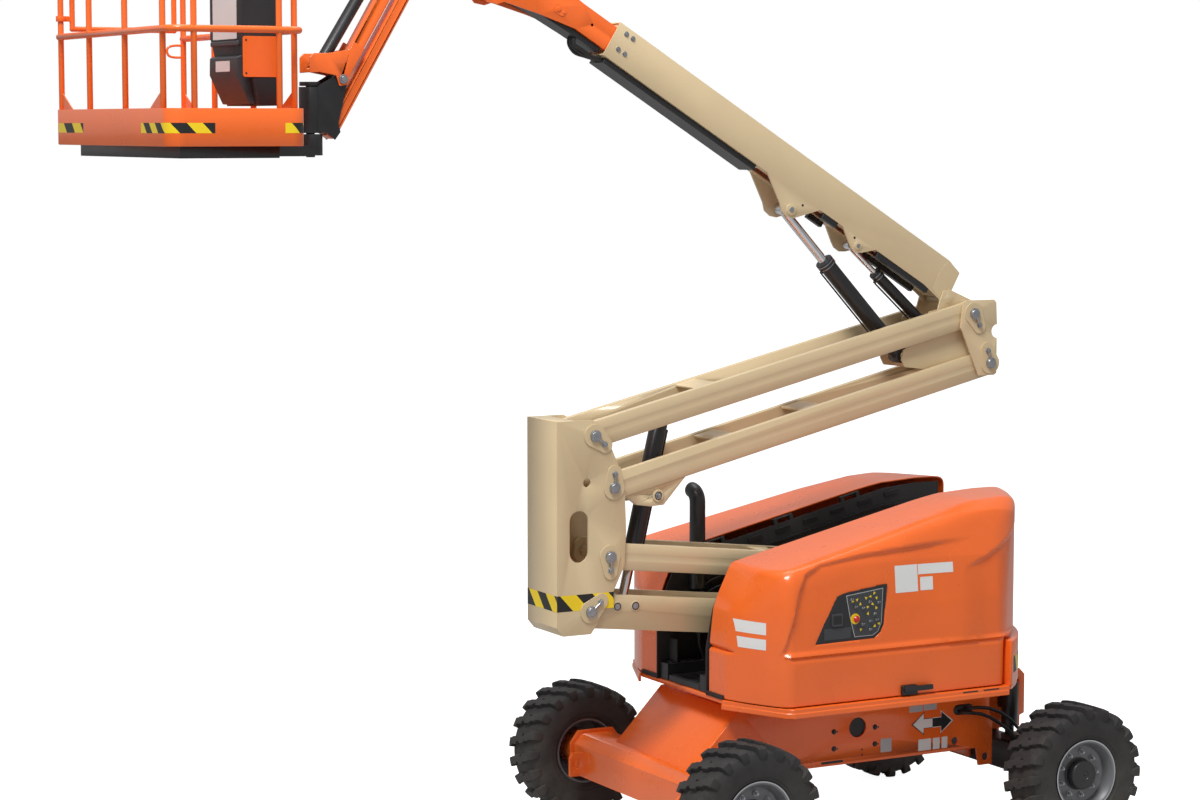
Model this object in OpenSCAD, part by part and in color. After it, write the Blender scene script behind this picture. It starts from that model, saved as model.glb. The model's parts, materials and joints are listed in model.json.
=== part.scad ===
// Articulating boom lift: four wheels, slewing turntable, folding tower, telescopic boom, jib and platform.
// Millimetres. X runs along the machine, the platform end is -X. Z is up from the ground.

/* [Wheels and chassis] */
// Distance between the axles
wheelbase = 2290; // [2250:5:2330]
// Distance between the wheel middles of one axle
track = 2030; // [2010:5:2070]
// Tyre diameter out to the lug tips
tyre_d = 830; // [810:5:840]
// Tyre width
tyre_w = 305; // [290:5:315]
// Height of the tread lugs
lug_h = 27; // [20:1:30]
// Seat diameter of the rim
rim_d = 420; // [400:5:430]
// Width of the chassis box
chassis_w = 920; // [860:10:960]

/* [Turntable] */
// Reach of the tail from the swing centre
tail_r = 1195; // [1180:5:1210]
// Thickness of the hood skin
hood_t = 8; // [6:1:12]

/* [Boom and jib] */
// Width of the boom's base section
boom_w = 205; // [200:1:208]
// Width of the fly section
fly_w = 172; // [164:1:176]
// Length of the two jib bars between their pins
jib_l = 1240; // [1200:10:1280]

/* [Platform] */
// Platform length across the machine
platform_l = 1830; // [1700:10:1950]
// Platform depth along the machine
platform_d = 760; // [720:10:800]
// Height of the top rail over the floor
rail_h = 1100; // [1050:10:1150]
// Diameter of the rail tube
rail_tube = 36; // [32:1:40]

/* [Hidden] */
$fn = 48;
gap = 0.5;
axle_x = wheelbase / 2;
wheel_y = track / 2;
wheel_r = tyre_d / 2;
king_y = wheel_y - 275;
crown_r = wheel_r - lug_h;
lugs = 20;
lug_pitch = 360 / lugs;
lug_steps = [0, 0.8, 7.6, 8.4];
lug_lean = 8;
lug_lap = 3;
lug_edge = 1;
lug_turn = -90 - lug_steps[1] + lug_edge;
tiedown_x = [-axle_x + 585, axle_x - 465];
tiedown_z = 545;
grommet_x = axle_x - 445;
steer_arm = 170;

// Pins of the folding tower, as [x, z]
t4 = [623, 1229];
t3 = [750, 1540];
arm1_a = 6.5;
arm1_l = 2335;
p4 = [t4[0] - arm1_l * cos(arm1_a), t4[1] + arm1_l * sin(arm1_a)];
p3 = [t3[0] - arm1_l * cos(arm1_a), t3[1] + arm1_l * sin(arm1_a)];
p2 = p4 + [153, 710];
p1 = p4 + [27, 1018];
arm2_a = 13.18;
arm2_l = 2722;
pb = [p2[0] + arm2_l * cos(arm2_a), p2[1] + arm2_l * sin(arm2_a)];
pa = [p1[0] + arm2_l * cos(arm2_a), p1[1] + arm2_l * sin(arm2_a)];
gusset = p2 + [306, -67];
tower_eye = p4 + [307, 7];

// Main boom, pins in its own frame along and over the boom
boom_o = pb + [-266, 398];
boom_a = 31.5;
boom_l = 2820;
boom_low = -10;
boom_top = 208;
lug1 = [1265, -113];
lug2 = [742, -55];
lift_base = pb + [-549, 56];
master_base = pb + [-406, 274];
fly_pin = [3193, 60];
toe = [3588, -78];

// Jib, its pins and the platform's turning axis
toe_p = boom_at(toe);
j1 = [toe_p[0] - 333, toe_p[1] + 285];
jib_a = -59.4;
jib_gap = [53, 288];
j2 = j1 + jib_gap;
k1 = [j1[0] - jib_l * cos(jib_a), j1[1] + jib_l * sin(jib_a)];
k2 = k1 + jib_gap;
horn = k2 + [-108, 78];
jib_eye = j2 + [11, 191];
level_eye = toe_p + [29, 137];
level_base = boom_at(fly_pin);
rotate_x = k1[0] - 111;

// Platform
floor_z = k1[1] - 40;
skirt_z = k1[1] - 67;
deck_z = skirt_z + 33;
plat_x1 = rotate_x - 392;
plat_x0 = plat_x1 - platform_d;
plat_y = platform_l / 2;
gate_y = plat_y - 80;
rail_r = rail_tube / 2;
top_z = floor_z + rail_h;
mid_z = skirt_z + 588;
corner = 90;

// Shift that puts the middle of the whole machine at x = 0
shift_x = -(plat_x0 + axle_x + wheel_r) / 2;

function boom_at(q) = [boom_o[0] - q[0] * cos(boom_a) + q[1] * sin(boom_a),
    boom_o[1] + q[0] * sin(boom_a) + q[1] * cos(boom_a)];

module place() {
  translate([shift_x, 0, 0]) children();
}

// A flat outline in x and z, spread from y0 to y1
module slab(y0, y1) {
  translate([0, y1, 0]) rotate([90, 0, 0]) linear_extrude(y1 - y0) children();
}

module both() {
  children();
  mirror([0, 1, 0]) children();
}

// A round bar along y at p = [x, z]
module pin(p, r, y0, y1) {
  translate([p[0], y1, p[1]]) rotate([90, 0, 0]) cylinder(r = r, h = y1 - y0);
}

// Own frame of a part that points to +x and up by a
module right_from(p, a) {
  translate([p[0], 0, p[1]]) rotate([0, -a, 0]) children();
}

// Own frame of a part that points to -x and up by a
module left_from(p, a) {
  translate([p[0], 0, p[1]]) rotate([0, a, 0]) mirror([1, 0, 0]) children();
}

// A box given by its two corners
module block(a, b) {
  translate(a) cube(b - a);
}

// A round bar from a to b
module rod(a, b, r) {
  d = b - a;
  translate(a) rotate([0, acos(d[2] / norm(d)), atan2(d[1], d[0])]) cylinder(r = r, h = norm(d));
}

// Directions for a swept hose
hose_ref = [0.25, 0.35, 0.9];
hose_sides = 10;

function unit(v) = v / norm(v);

function hose_ring(p, i, r) =
  let (t = unit(p[min(i + 1, len(p) - 1)] - p[max(i - 1, 0)]), a = unit(cross(t, hose_ref)), b = cross(t, a))
  [for (k = [0:hose_sides - 1]) p[i] + r * (cos(360 * k / hose_sides) * a + sin(360 * k / hose_sides) * b)];

// A hose of radius r swept through the points p
module hose(p, r) {
  m = hose_sides;
  last = len(p) - 1;
  polyhedron(
    points = [for (i = [0:last]) each hose_ring(p, i, r)],
    faces = concat([[for (k = [0:m - 1]) k]], [[for (k = [m - 1:-1:0]) last * m + k]],
      [for (i = [0:last - 1]) for (k = [0:m - 1])
        each [[i * m + k, (i + 1) * m + (k + 1) % m, i * m + (k + 1) % m],
          [i * m + k, (i + 1) * m + k, (i + 1) * m + (k + 1) % m]]]));
}

// Tyres, rims, hubs

// Rings of points round a tyre, which lies with its axle along z: a smooth one, and one that steps over
// every lug from the groove's radius to the lug's top
function smooth_ring(r, z) = [for (i = [0:2 * lugs - 1])
    [r * cos(lug_turn + i * lug_pitch / 2), r * sin(lug_turn + i * lug_pitch / 2), z]];

function lug_ring(low, high, z, turn) = [for (i = [0:lugs - 1]) for (k = [0:3])
    let (r = k == 1 || k == 2 ? high : low, a = lug_turn + i * lug_pitch + turn + lug_steps[k])
    [r * cos(a), r * sin(a), z]];

// Triangles between two rings of n points that start at point a and point b
function band(a, b, n) = [for (i = [0:n - 1]) each let (k = (i + 1) % n)
    [[a + i, a + k, b + k], [a + i, b + k, b + i]]];

// Triangles from a smooth ring at a to a stepped ring at b, which starts on the smooth ring's point s
function step_band(a, b, s) = [for (i = [0:lugs - 1]) each
    let (c = [for (k = [0:2]) a + (2 * i + s + k) % (2 * lugs)],
      f = [for (k = [0:4]) b + (4 * i + k) % (4 * lugs)])
    [[c[0], f[1], f[0]], [c[0], f[2], f[1]], [c[0], c[1], f[2]], [c[1], f[3], f[2]], [c[1], f[4], f[3]],
      [c[1], c[2], f[4]]]];

function flipped(faces) = [for (f = faces) [f[2], f[1], f[0]]];

// Tyre with two staggered rows of slanted lugs
module tyre(side, x) {
  bead = (rim_d / 2 - 4 + gap) / cos(lug_pitch / 4);
  edge = tyre_w / 2;
  half = lug_pitch / 2;
  n = 2 * lugs;
  points = concat(
    smooth_ring(bead, -edge + 33), smooth_ring(rim_d / 2 + 30, -edge + 6),
    lug_ring(crown_r - 60, crown_r - 55, -edge, half),
    lug_ring(crown_r, wheel_r, -edge + 34, half - lug_edge),
    lug_ring(crown_r, wheel_r, -lug_lap, half - lug_lean), lug_ring(crown_r, wheel_r, lug_lap, -lug_lean),
    lug_ring(crown_r, wheel_r, edge - 34, -lug_edge), lug_ring(crown_r - 60, crown_r - 55, edge, 0),
    smooth_ring(rim_d / 2 + 30, edge - 6), smooth_ring(bead, edge - 33));
  treads = [for (i = [0:4]) each band(2 * n + 2 * n * i, 4 * n + 2 * n * i, 2 * n)];
  color([0.1, 0.1, 0.1]) place() translate([x, side * wheel_y, wheel_r]) rotate([90, 0, 0])
    polyhedron(points, flipped(concat(band(0, n, n), step_band(n, 2 * n, 1), treads,
      flipped(step_band(14 * n, 12 * n, 0)), band(14 * n, 15 * n, n), band(15 * n, 0, n))));
}

// The rim turns round; its outer face looks to +z before it is stood up
module rim(side, x) {
  color([0.45, 0.46, 0.47]) place() translate([x, side * wheel_y, wheel_r]) rotate([-90 * side, 0, 0])
    difference() {
      union() {
        rotate_extrude($fn = 72) polygon([
          [rim_d / 2 - 4, -tyre_w / 2 + 32], [rim_d / 2 - 4, tyre_w / 2 - 32],
          [rim_d / 2 + 10, tyre_w / 2 - 14], [rim_d / 2 - 4, tyre_w / 2 - 12],
          [rim_d / 2 - 22, tyre_w / 2 - 32], [rim_d / 2 - 30, 62], [rim_d / 2 - 60, 48],
          [100, 56], [100, 104], [86, 116], [44 + gap, 116], [44 + gap, 34], [rim_d / 2 - 60, 34],
          [rim_d / 2 - 20, 20], [rim_d / 2 - 16, -tyre_w / 2 + 32]]);
        translate([0, 0, 112]) cylinder(r = 50, h = 12);
      }
      for (i = [0:8])
        rotate(i * 40) translate([132, 0, 50]) cylinder(r = 10, h = 20, $fn = 16);
    }
}

module spindle(side, x, y0) {
  translate([x, side * y0, wheel_r]) rotate([-90 * side, 0, 0]) {
    cylinder(r = 118, h = wheel_y - y0 + 24);
    cylinder(r = 44, h = wheel_y - y0 + 108);
  }
}

// Chassis

// Slot in the chassis side for the axle's hoses
module grommet_outline() {
  translate([grommet_x, 735]) circle(r = 32);
  translate([grommet_x + 80, 735]) circle(r = 32);
  translate([grommet_x, 703]) square([80, 64]);
}

module chassis_frame() {
  hw = chassis_w / 2;
  color([0.93, 0.42, 0.2]) place() difference() {
    union() {
      both() slab(hw - 14, hw) polygon([[-axle_x + 205, 600], [-axle_x + 135, 560], [-axle_x + 40, 555],
        [-axle_x - 30, 555], [-axle_x + 285, 880], [axle_x - 210, 880], [axle_x - 210, 700],
        [axle_x - 185, 640], [axle_x - 185, 375], [axle_x - 285, 375], [axle_x - 305, 485],
        [-axle_x + 385, 485], [-axle_x + 245, 520]]);
      slab(-hw + 5, hw - 5) polygon([[-axle_x - 32, 555], [-axle_x + 283, 880], [axle_x - 210, 880],
        [axle_x - 210, 864], [-axle_x + 293, 864], [-axle_x - 14, 555]]);
      block([axle_x - 224, -hw + 5, 500], [axle_x - 210, hw - 5, 870]);
      block([-axle_x + 245, -hw + 5, 520], [-axle_x + 259, hw - 5, 800]);
      translate([0, 0, 500]) cylinder(r = 330, h = 366);
      both() slab(318, 340) polygon([[axle_x - 215, 500], [axle_x - 215, 870], [axle_x - 155, 925],
        [axle_x + 105, 925], [axle_x + 145, 885], [axle_x + 145, 640], [axle_x + 35, 600],
        [axle_x - 45, 600]]);
      block([axle_x - 118, -330, 560], [axle_x + 118, 330, 640]);
      for (x = [axle_x - 118, axle_x + 96])
        block([x, -120, 345], [x + 22, 120, 600]);
    }
    translate([axle_x - 200, 0, 430]) rotate([0, 90, 0]) cylinder(r = 60 + gap, h = 400);
    translate([0, 0, 490]) cylinder(r = 300, h = 400);
    both() pin([-30, 700], 60, hw - 20, hw + 5);
    both() slab(hw - 20, hw + 5) {
      grommet_outline();
    }
    both() slab(310, 345) {
      translate([axle_x + 60, 845]) circle(r = 40);
      polygon([[axle_x + 20, 740], [axle_x + 100, 740], [axle_x + 100, 845], [axle_x + 20, 845]]);
    }
    both() pin([axle_x - 235, 425], 24, hw - 20, hw + 5);
    for (x = tiedown_x)
      both() pin([x, tiedown_z], 24, hw - 20, hw + 5);
  }
}

module fixed_axle() {
  color([0.93, 0.42, 0.2]) place() difference() {
    union() {
      slab(-780, 780) polygon([[-axle_x - 150, 310], [-axle_x + 150, 310], [-axle_x + 150, 500],
        [-axle_x + 100, 555], [-axle_x - 100, 555], [-axle_x - 150, 500]]);
      both() slab(770, 792) polygon([[-axle_x - 175, 290], [-axle_x + 175, 290], [-axle_x + 175, 500],
        [-axle_x + 120, 575], [-axle_x - 120, 575], [-axle_x - 175, 500]]);
      both() slab(640, 662) polygon([[-axle_x - 250, 330], [-axle_x - 140, 330], [-axle_x - 140, 470],
        [-axle_x - 230, 470], [-axle_x - 250, 440]]);
      for (s = [-1, 1])
        spindle(s, -axle_x, 785);
    }
    slab(-760, 760) polygon([[-axle_x - 138, 322], [-axle_x + 138, 322], [-axle_x + 138, 495],
      [-axle_x + 95, 543], [-axle_x - 95, 543], [-axle_x - 138, 495]]);
    both() pin([-axle_x - 205, 400], 25, 630, 670);
  }
}

module steer_axle() {
  color([0.13, 0.13, 0.14]) place() {
    difference() {
      union() {
        block([axle_x - 90, -king_y + 115, 330], [axle_x + 90, king_y - 115, 500]);
        translate([axle_x - 122, 0, 430]) rotate([0, 90, 0]) cylinder(r = 60, h = 244);
      }
      block([axle_x - 78, -king_y + 130, 342], [axle_x + 78, king_y - 130, 488]);
    }
    both() {
      block([axle_x - 70, king_y - 96, 470], [axle_x + 70, king_y - 60, 560]);
      block([axle_x - 70, king_y - 96, 270], [axle_x + 70, king_y - 60, 335]);
      block([axle_x - 55, king_y - 116, 270], [axle_x + 55, king_y - 82, 560]);
      for (z = [270, 525]) {
        block([axle_x - 60, king_y - 90, z], [axle_x + 60, king_y, z + 35]);
        translate([axle_x, king_y, z]) cylinder(r = 60, h = 35);
      }
      translate([axle_x, king_y, 275]) cylinder(r = 24, h = 280);
    }
    difference() {
      union() {
        translate([axle_x + steer_arm, 260, 412]) rotate([90, 0, 0]) cylinder(r = 42, h = 520);
        both() block([axle_x + 85, 190, 370], [axle_x + steer_arm + 20, 214, 455]);
      }
      translate([axle_x + steer_arm, 300, 412]) rotate([90, 0, 0]) cylinder(r = 20 + gap, h = 600);
    }
    both() block([axle_x - 60, 380, 499], [axle_x + 60, 480, 540]);
  }
}

module lockout_cylinders() {
  color([0.1, 0.1, 0.11]) place() both() {
    translate([axle_x - 20, 412, 600]) cylinder(r = 52, h = 260);
    translate([axle_x - 20, 412, 540]) cylinder(r = 28, h = 70);
    block([axle_x - 60, 340, 700], [axle_x + 20, 372, 830]);
  }
}

module slew_ring() {
  color([0.2, 0.2, 0.21]) place() difference() {
    translate([0, 0, 880]) cylinder(r = 425, h = 44, $fn = 96);
    translate([0, 0, 870]) cylinder(r = 361 + gap, h = 60, $fn = 96);
  }
}

// Pressure hoses through a grommet in the chassis side to the steered axle
module axle_hoses() {
  hw = chassis_w / 2;
  color([0.08, 0.08, 0.08]) place() both() {
    slab(hw - 14, hw) {
      grommet_outline();
    }
    hose([[axle_x - 433, hw + gap, 725], [axle_x - 433, hw + 22, 725], [axle_x - 421, hw + 40, 724],
      [axle_x - 385, hw + 50, 720], [axle_x - 305, hw + 56, 705], [axle_x - 245, hw + 58, 680],
      [axle_x - 180, hw + 60, 640], [axle_x - 110, hw + 60, 590],
      [axle_x - 62, hw + 60, 540], [axle_x - 54, hw + 60, 515], [axle_x - 54, hw + 60, 500 + gap]], 11);
    hose([[axle_x - 387, hw + gap, 745], [axle_x - 387, hw + 20, 745], [axle_x - 375, hw + 38, 746],
      [axle_x - 325, hw + 48, 747], [axle_x - 255, hw + 55, 738],
      [axle_x - 170, hw + 59, 705], [axle_x - 90, hw + 60, 650],
      [axle_x - 30, hw + 60, 590], [axle_x - 2, hw + 60, 540], [axle_x + 6, hw + 60, 515],
      [axle_x + 6, hw + 60, 500 + gap]], 11);
  }
}

module knuckle(side) {
  color([0.12, 0.12, 0.13]) place() difference() {
    union() {
      translate([axle_x, side * king_y, 312]) cylinder(r = 52, h = 206);
      if (side > 0)
        block([axle_x - 50, king_y, 340], [axle_x + 50, king_y + 95, 490]);
      if (side < 0)
        block([axle_x - 50, -king_y - 95, 340], [axle_x + 50, -king_y, 490]);
      spindle(side, axle_x, king_y + 80);
      block([axle_x, side * king_y - 24, 350], [axle_x + steer_arm, side * king_y + 24, 376]);
      translate([axle_x + steer_arm, side * king_y, 350]) cylinder(r = 32, h = 26);
    }
    translate([axle_x, side * king_y, 300]) cylinder(r = 24 + gap, h = 240);
  }
}

module knuckle_near() {
  knuckle(-1);
}

module knuckle_far() {
  knuckle(1);
}

module tie_rod() {
  color([0.55, 0.56, 0.58]) place() {
    translate([axle_x + steer_arm, king_y - 20, 412]) rotate([90, 0, 0])
      cylinder(r = 20, h = 2 * king_y - 40);
    for (s = [-1, 1])
      translate([axle_x + steer_arm, s * king_y, 376 + gap]) cylinder(r = 30, h = 60);
  }
}

// Turntable

// The hood's hinge line lies just under its sloping top
hood_slope = 12.61;
// Height of the belt line, where the hood steps out over its lower band
belt_z = 1240;
band_x = tail_r - 455;
slab_top = belt_z - 12;
block_x = tail_r - 305;
exhaust_r = 48;
hinge_at = [250, 750, 1250];

module hinge_line() {
  translate([-830, 306, 1735]) rotate([0, -hood_slope, 0]) translate([0, 0, -20]) children();
}

// Plan outlines of a hood, drawn on the +y side: the band under the belt and the part over it, which
// wraps round the tail
function hood_low_plan(t) = [[-1000 + t, 310 - 20 * t], [-1000 + t, 500 - t], [-810 + t, 895 - t],
    [-775 + t, 935 - t], [band_x - 50 - t, 935 - t], [band_x - t, 905 - t],
    [band_x - t, 310 - 20 * t]];

function hood_high_plan(t) = [[-1000 + t, 310 - 20 * t], [-1000 + t, 500 - t], [-810 + t, 895 - t],
    [-775 + t, 935 - t], [tail_r - 555 - t, 935 - t], [tail_r - 455 - t, 890 - t],
    [tail_r - 265 - t, 700 - t], [tail_r - 135 - t, 490 - t], [tail_r - 75 - t, 370 - t],
    [tail_r - 50 - t, 310 - 20 * t]];

function hood_side(t) = [[-1000 + t, 968 - 20 * t], [-1000 + t, 1235], [-955 + t, 1480],
    [-860 + t, 1690 - t], [-830 + t, 1735 - t], [640 - t, 2064 - t], [tail_r - 295 - t, 2088 - t],
    [tail_r - 125 - t, 2088 - t], [tail_r - 70 - t, 2045 - t], [tail_r - 45 - t, 1985],
    [tail_r - 45 - t, 968 - 20 * t]];

function hood_cross(t) = [[310 - 20 * t, 968 - 20 * t], [905 - t, 968 - 20 * t], [912 - t, 1215],
    [935 - t, 1250], [928 - t, 1500], [890 - t, 1760], [800 - t, 2010 - t], [760 - t, 2100 - t],
    [310 - 20 * t, 2100 - t]];

module hood_solid(t) {
  intersection() {
    union() {
      translate([0, 0, 700]) linear_extrude(belt_z - 700) polygon(hood_low_plan(t));
      translate([0, 0, t > 0 ? belt_z - 1 : belt_z]) linear_extrude(1000) polygon(hood_high_plan(t));
    }
    slab(0, 1000) polygon(hood_side(t));
    translate([-1100, 0, 0]) rotate([90, 0, 90]) linear_extrude(2300) polygon(hood_cross(t));
  }
}

module hood() {
  difference() {
    hood_solid(0);
    hood_solid(hood_t);
  }
  block([-60, 880, 972], [120, 922, 990]);
  for (x = hinge_at)
    hinge_line() difference() {
      translate([x - 40, 0, 0]) rotate([0, 90, 0]) cylinder(r = 15, h = 80);
      translate([x - 50, 0, 0]) rotate([0, 90, 0]) cylinder(r = 8 + gap, h = 100);
    }
}

module hood_near() {
  color([0.93, 0.42, 0.2]) place() mirror([0, 1, 0]) difference() {
    hood();
    slab(800, 1000) polygon([[-683, 1327], [-627, 1473], [-552, 1634], [-490, 1667], [-185, 1713],
      [-130, 1716], [-111, 1661], [-99, 1353], [-144, 1308], [-253, 1292]]);
  }
}

module hood_far() {
  color([0.93, 0.42, 0.2]) place() hood();
}

module turntable_base() {
  color([0.93, 0.42, 0.2]) place() difference() {
    union() {
      translate([0, 0, 934]) linear_extrude(26) intersection() {
        circle(r = tail_r - 6, $fn = 120);
        polygon([[-980, -490], [-800, -890], [-765, -915], [1190, -915], [1190, 915], [-765, 915],
          [-800, 890], [-980, 490]]);
      }
      difference() {
        translate([0, 0, 886]) cylinder(r = 361, h = 50, $fn = 96);
        translate([0, 0, 880]) cylinder(r = 300, h = 50, $fn = 96);
      }
      both() slab(176, 196) polygon([[250, 955], [880, 955], [880, 1480], [830, 1600], [750, 1625],
        [670, 1590], [545, 1290], [480, 1180]]);
      pin(t4, 31, -190, 190);
      pin(t3, 31, -190, 190);
      block([840, -180, 955], [864, 180, 1420]);
    }
    translate([0, 0, 880]) cylinder(r = 200, h = 100);
  }
}

// Cast slab across the tail with a taller middle between the hoods
module counterweight() {
  color([0.93, 0.42, 0.2]) place() intersection() {
    translate([0, 0, 960]) linear_extrude(1200) intersection() {
      circle(r = tail_r, $fn = 120);
      polygon([[band_x + 6, -922], [tail_r, -922], [tail_r, 922], [band_x + 6, 922]]);
    }
    difference() {
      union() {
        both() block([band_x + 6, 230, 960], [tail_r + 5, 922, slab_top]);
        slab(-280, 280) polygon([[block_x, 960], [tail_r + 5, 960], [tail_r + 5, 1500], [tail_r - 35, 1545],
          [block_x, 1545]]);
      }
      block([0, -201, 950], [885, 201, 1700]);
    }
  }
}

module compartment_walls() {
  color([0.09, 0.09, 0.1]) place() both() {
    slab(286, 296) polygon([[-985, 960], [-985, 1240], [-940, 1470], [-850, 1660],
      [-815, 1690], [640, 2018], [tail_r - 315, 2040], [tail_r - 135, 2040],
      [tail_r - 135, 1560], [band_x, 1560], [band_x, 960]]);
    for (x = hinge_at)
      hinge_line() {
        translate([x - 70, 0, 0]) rotate([0, 90, 0]) cylinder(r = 8, h = 140);
        for (d = [-70, 46])
          block([x + d, -18, -60], [x + d + 24, 6, 8]);
      }
    block([-900, 200, 960], [-890, 290, 1200]);
    block([-985, 290, 960], [-975, 480, 985]);
  }
}

// Engine as one plain block, with its exhaust beside the tower
module engine() {
  x = -738;
  y = 234;
  bend = 70;
  color([0.14, 0.14, 0.15]) place() {
    block([-350, 420, 960], [420, 800, 1560]);
    rod([x, y, 1500], [x, y, 2020], exhaust_r);
    translate([x, y + bend, 2020]) rotate([90, 0, 90]) rotate(90) rotate_extrude(angle = 90)
      translate([bend, 0]) circle(r = exhaust_r);
    block([x - 26, y, 1502], [x + 26, 286, 1620]);
  }
}

module ground_controls() {
  color([0.11, 0.11, 0.12]) place() mirror([0, 1, 0]) {
    slab(790, 880) polygon([[-612, 1312], [-551, 1431], [-455, 1582], [-410, 1598], [-112, 1632],
      [-133, 1396], [-155, 1352], [-200, 1318]]);
    block([-600, 296, 1400], [-400, 800, 1430]);
  }
}

// Folding tower

// Points of an outline drawn from the point o
function shifted(o, points) = [for (q = points) o + q];

// One arm link: two side tubes with cross plates, pins at both ends of its own x axis
module link(len, depth, back, nose, top_braces, low_braces) {
  h = depth / 2;
  difference() {
    union() {
      both() difference() {
        slab(124, 164) polygon([[-back, -h + 30], [-back + 30, -h], [len + nose - 30, -h],
          [len + nose, -h + 30], [len + nose, h - 30], [len + nose - 30, h], [-back + 30, h],
          [-back, h - 30]]);
        slab(130, 158) polygon([[90, -h + 6], [len - 90, -h + 6], [len - 90, h - 6], [90, h - 6]]);
      }
      for (b = low_braces)
        block([b - 70, -126, -h + 8], [b + 70, 126, -h + 20]);
      for (b = top_braces)
        block([b - 70, -126, h - 20], [b + 70, 126, h - 8]);
    }
    pin([0, 0], 31 + gap, -200, 200);
    pin([len, 0], 31 + gap, -200, 200);
  }
}

module lower_arm_lower() {
  color([0.82, 0.73, 0.58]) place() {
    left_from(t4, arm1_a) link(arm1_l, 200, 60, 60, [420, 1150], [420, 1150]);
    both() pin(tower_eye, 40, 60, 126);
    both() pin(p4 + [187, 12], 30, 160, 169);
    both() pin(tower_eye, 30, 160, 169);
  }
}

module lower_arm_upper() {
  color([0.82, 0.73, 0.58]) place() left_from(t3, arm1_a) link(arm1_l, 155, 60, 60, [420, 1150], [420, 1150]);
}

module lower_upright() {
  color([0.82, 0.73, 0.58]) place() difference() {
    union() {
      both() slab(170, 185) polygon(shifted(p4, [[-218, -82], [-177, -132], [3, -132], [44, -78],
        [154, 111], [224, 252], [235, 457], [227, 670], [185, 837], [121, 980], [65, 1077],
        [16, 1109], [-218, 1109]]));
      slab(-172, 172) polygon(shifted(p4, [[-218, -82], [-204, -82], [-204, 1109], [-218, 1109]]));
      slab(-172, 172) polygon(shifted(p4, [[-218, 1109], [-93, 1109], [-93, 1097], [-218, 1097]]));
      slab(-172, 172) polygon(shifted(p4, [[-218, -82], [-177, -132], [-103, -132], [-103, -120],
        [-171, -120], [-204, -78]]));
      for (p = [p1, p2, p3, p4])
        pin(p, 31, -190, 190);
    }
    both() slab(160, 195) {
      translate(p4 + [-75, 350]) circle(r = 61);
      translate(p4 + [-75, 528]) circle(r = 61);
      polygon(shifted(p4, [[-136, 350], [-14, 350], [-14, 528], [-136, 528]]));
    }
    both() pin(p4 + [-23, 748], 25, 160, 195);
  }
}

module upper_arm_lower() {
  color([0.82, 0.73, 0.58]) place() {
    right_from(p2, arm2_a) link(arm2_l, 155, 60, 45, [820, 1450], [820, 1450]);
    both() difference() {
      slab(126, 162) polygon(shifted(p2, [[89, -53], [164, -113], [254, -127], [344, -123], [514, 59],
        [504, 97], [114, 7]]));
      pin(gusset, 23 + gap, 100, 200);
    }
  }
}

module upper_arm_upper() {
  color([0.82, 0.73, 0.58]) place() right_from(p1, arm2_a) link(arm2_l, 155, 60, 60, [820], [820, 1450]);
}

module upper_upright() {
  color([0.82, 0.73, 0.58]) place() difference() {
    union() {
      both() slab(170, 185) polygon(shifted(pb, [[-206, 198], [-220, 221], [-201, 376], [-181, 390],
        [29, 390], [46, 372], [52, 246], [52, -64], [34, -76], [-84, -76]]));
      both() slab(108, 119) polygon(shifted(pb, [[-326, 401], [-306, 446], [-266, 460], [-216, 438],
        [-46, 366], [24, 256], [44, -44], [-66, -84], [-466, -24], [-586, -9], [-611, 36], [-596, 96],
        [-546, 121], [-466, 161], [-451, 281], [-406, 326], [-346, 336]]));
      for (p = [pa, pb])
        pin(p, 31, -190, 190);
      pin(boom_o, 28, -121, 121);
      pin(lift_base, 24, -112, 112);
      pin(master_base, 18, -112, 112);
      pin(pb + [-166, 136], 40, -112, 112);
      slab(-112, 112) polygon(shifted(pb, [[-46, 266], [-16, 266], [-16, 326], [-46, 326]]));
    }
    both() pin(pb + [54, 195], 42, 160, 200);
  }
}

// Closed cylinders: barrels and rods in their own frame, the barrel's pin at the origin

module barrel(r, bore, rod_r, from, to, eye_r, eye_w, pin_r) {
  start = eye_r > 0 ? eye_r + 14 : from + 20;
  difference() {
    union() {
      rotate([0, 90, 0]) translate([0, 0, from]) cylinder(r = r, h = to - from);
      rotate([0, 90, 0]) translate([0, 0, to - 44]) cylinder(r = r + 6, h = 44);
      if (eye_r > 0)
        pin([0, 0], eye_r, -eye_w, eye_w);
    }
    rotate([0, 90, 0]) translate([0, 0, start]) cylinder(r = bore, h = to - 40 - start);
    rotate([0, 90, 0]) translate([0, 0, to - 50]) cylinder(r = rod_r + gap, h = 60);
    if (pin_r > 0)
      pin([0, 0], pin_r + gap, -100, 100);
  }
}

module piston(r, head, from, len, eye_r, eye_w) {
  rotate([0, 90, 0]) {
    translate([0, 0, from]) cylinder(r = r, h = len - from - eye_r + 12);
    translate([0, 0, from]) cylinder(r = head - gap, h = 50);
  }
  pin([len, 0], eye_r, -eye_w, eye_w);
}

tower_v = tower_eye - gusset;
tower_len = norm(tower_v);
tower_dir = atan2(tower_v[1], tower_v[0]);

module tower_barrel() {
  color([0.1, 0.1, 0.11]) place() right_from(gusset, tower_dir) {
    barrel(52, 43, 30, -430, 430, 0, 0, 0);
    both() pin([0, 0], 23, 46, 166);
  }
}

module tower_rod() {
  color([0.8, 0.81, 0.83]) place() right_from(gusset, tower_dir)
    piston(30, 43, -235, tower_len, 40, 50);
}

lift_v = boom_at(lug1) - lift_base;
lift_dir = atan2(lift_v[1], lift_v[0]);
lift_len = norm(lift_v);

module lift_barrel() {
  color([0.1, 0.1, 0.11]) place() right_from(lift_base, lift_dir)
    barrel(50, 42, 28, 20, 810, 48, 50, 24);
}

module lift_rod() {
  color([0.8, 0.81, 0.83]) place() right_from(lift_base, lift_dir) piston(28, 42, 420, lift_len, 35, 40);
}

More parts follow.
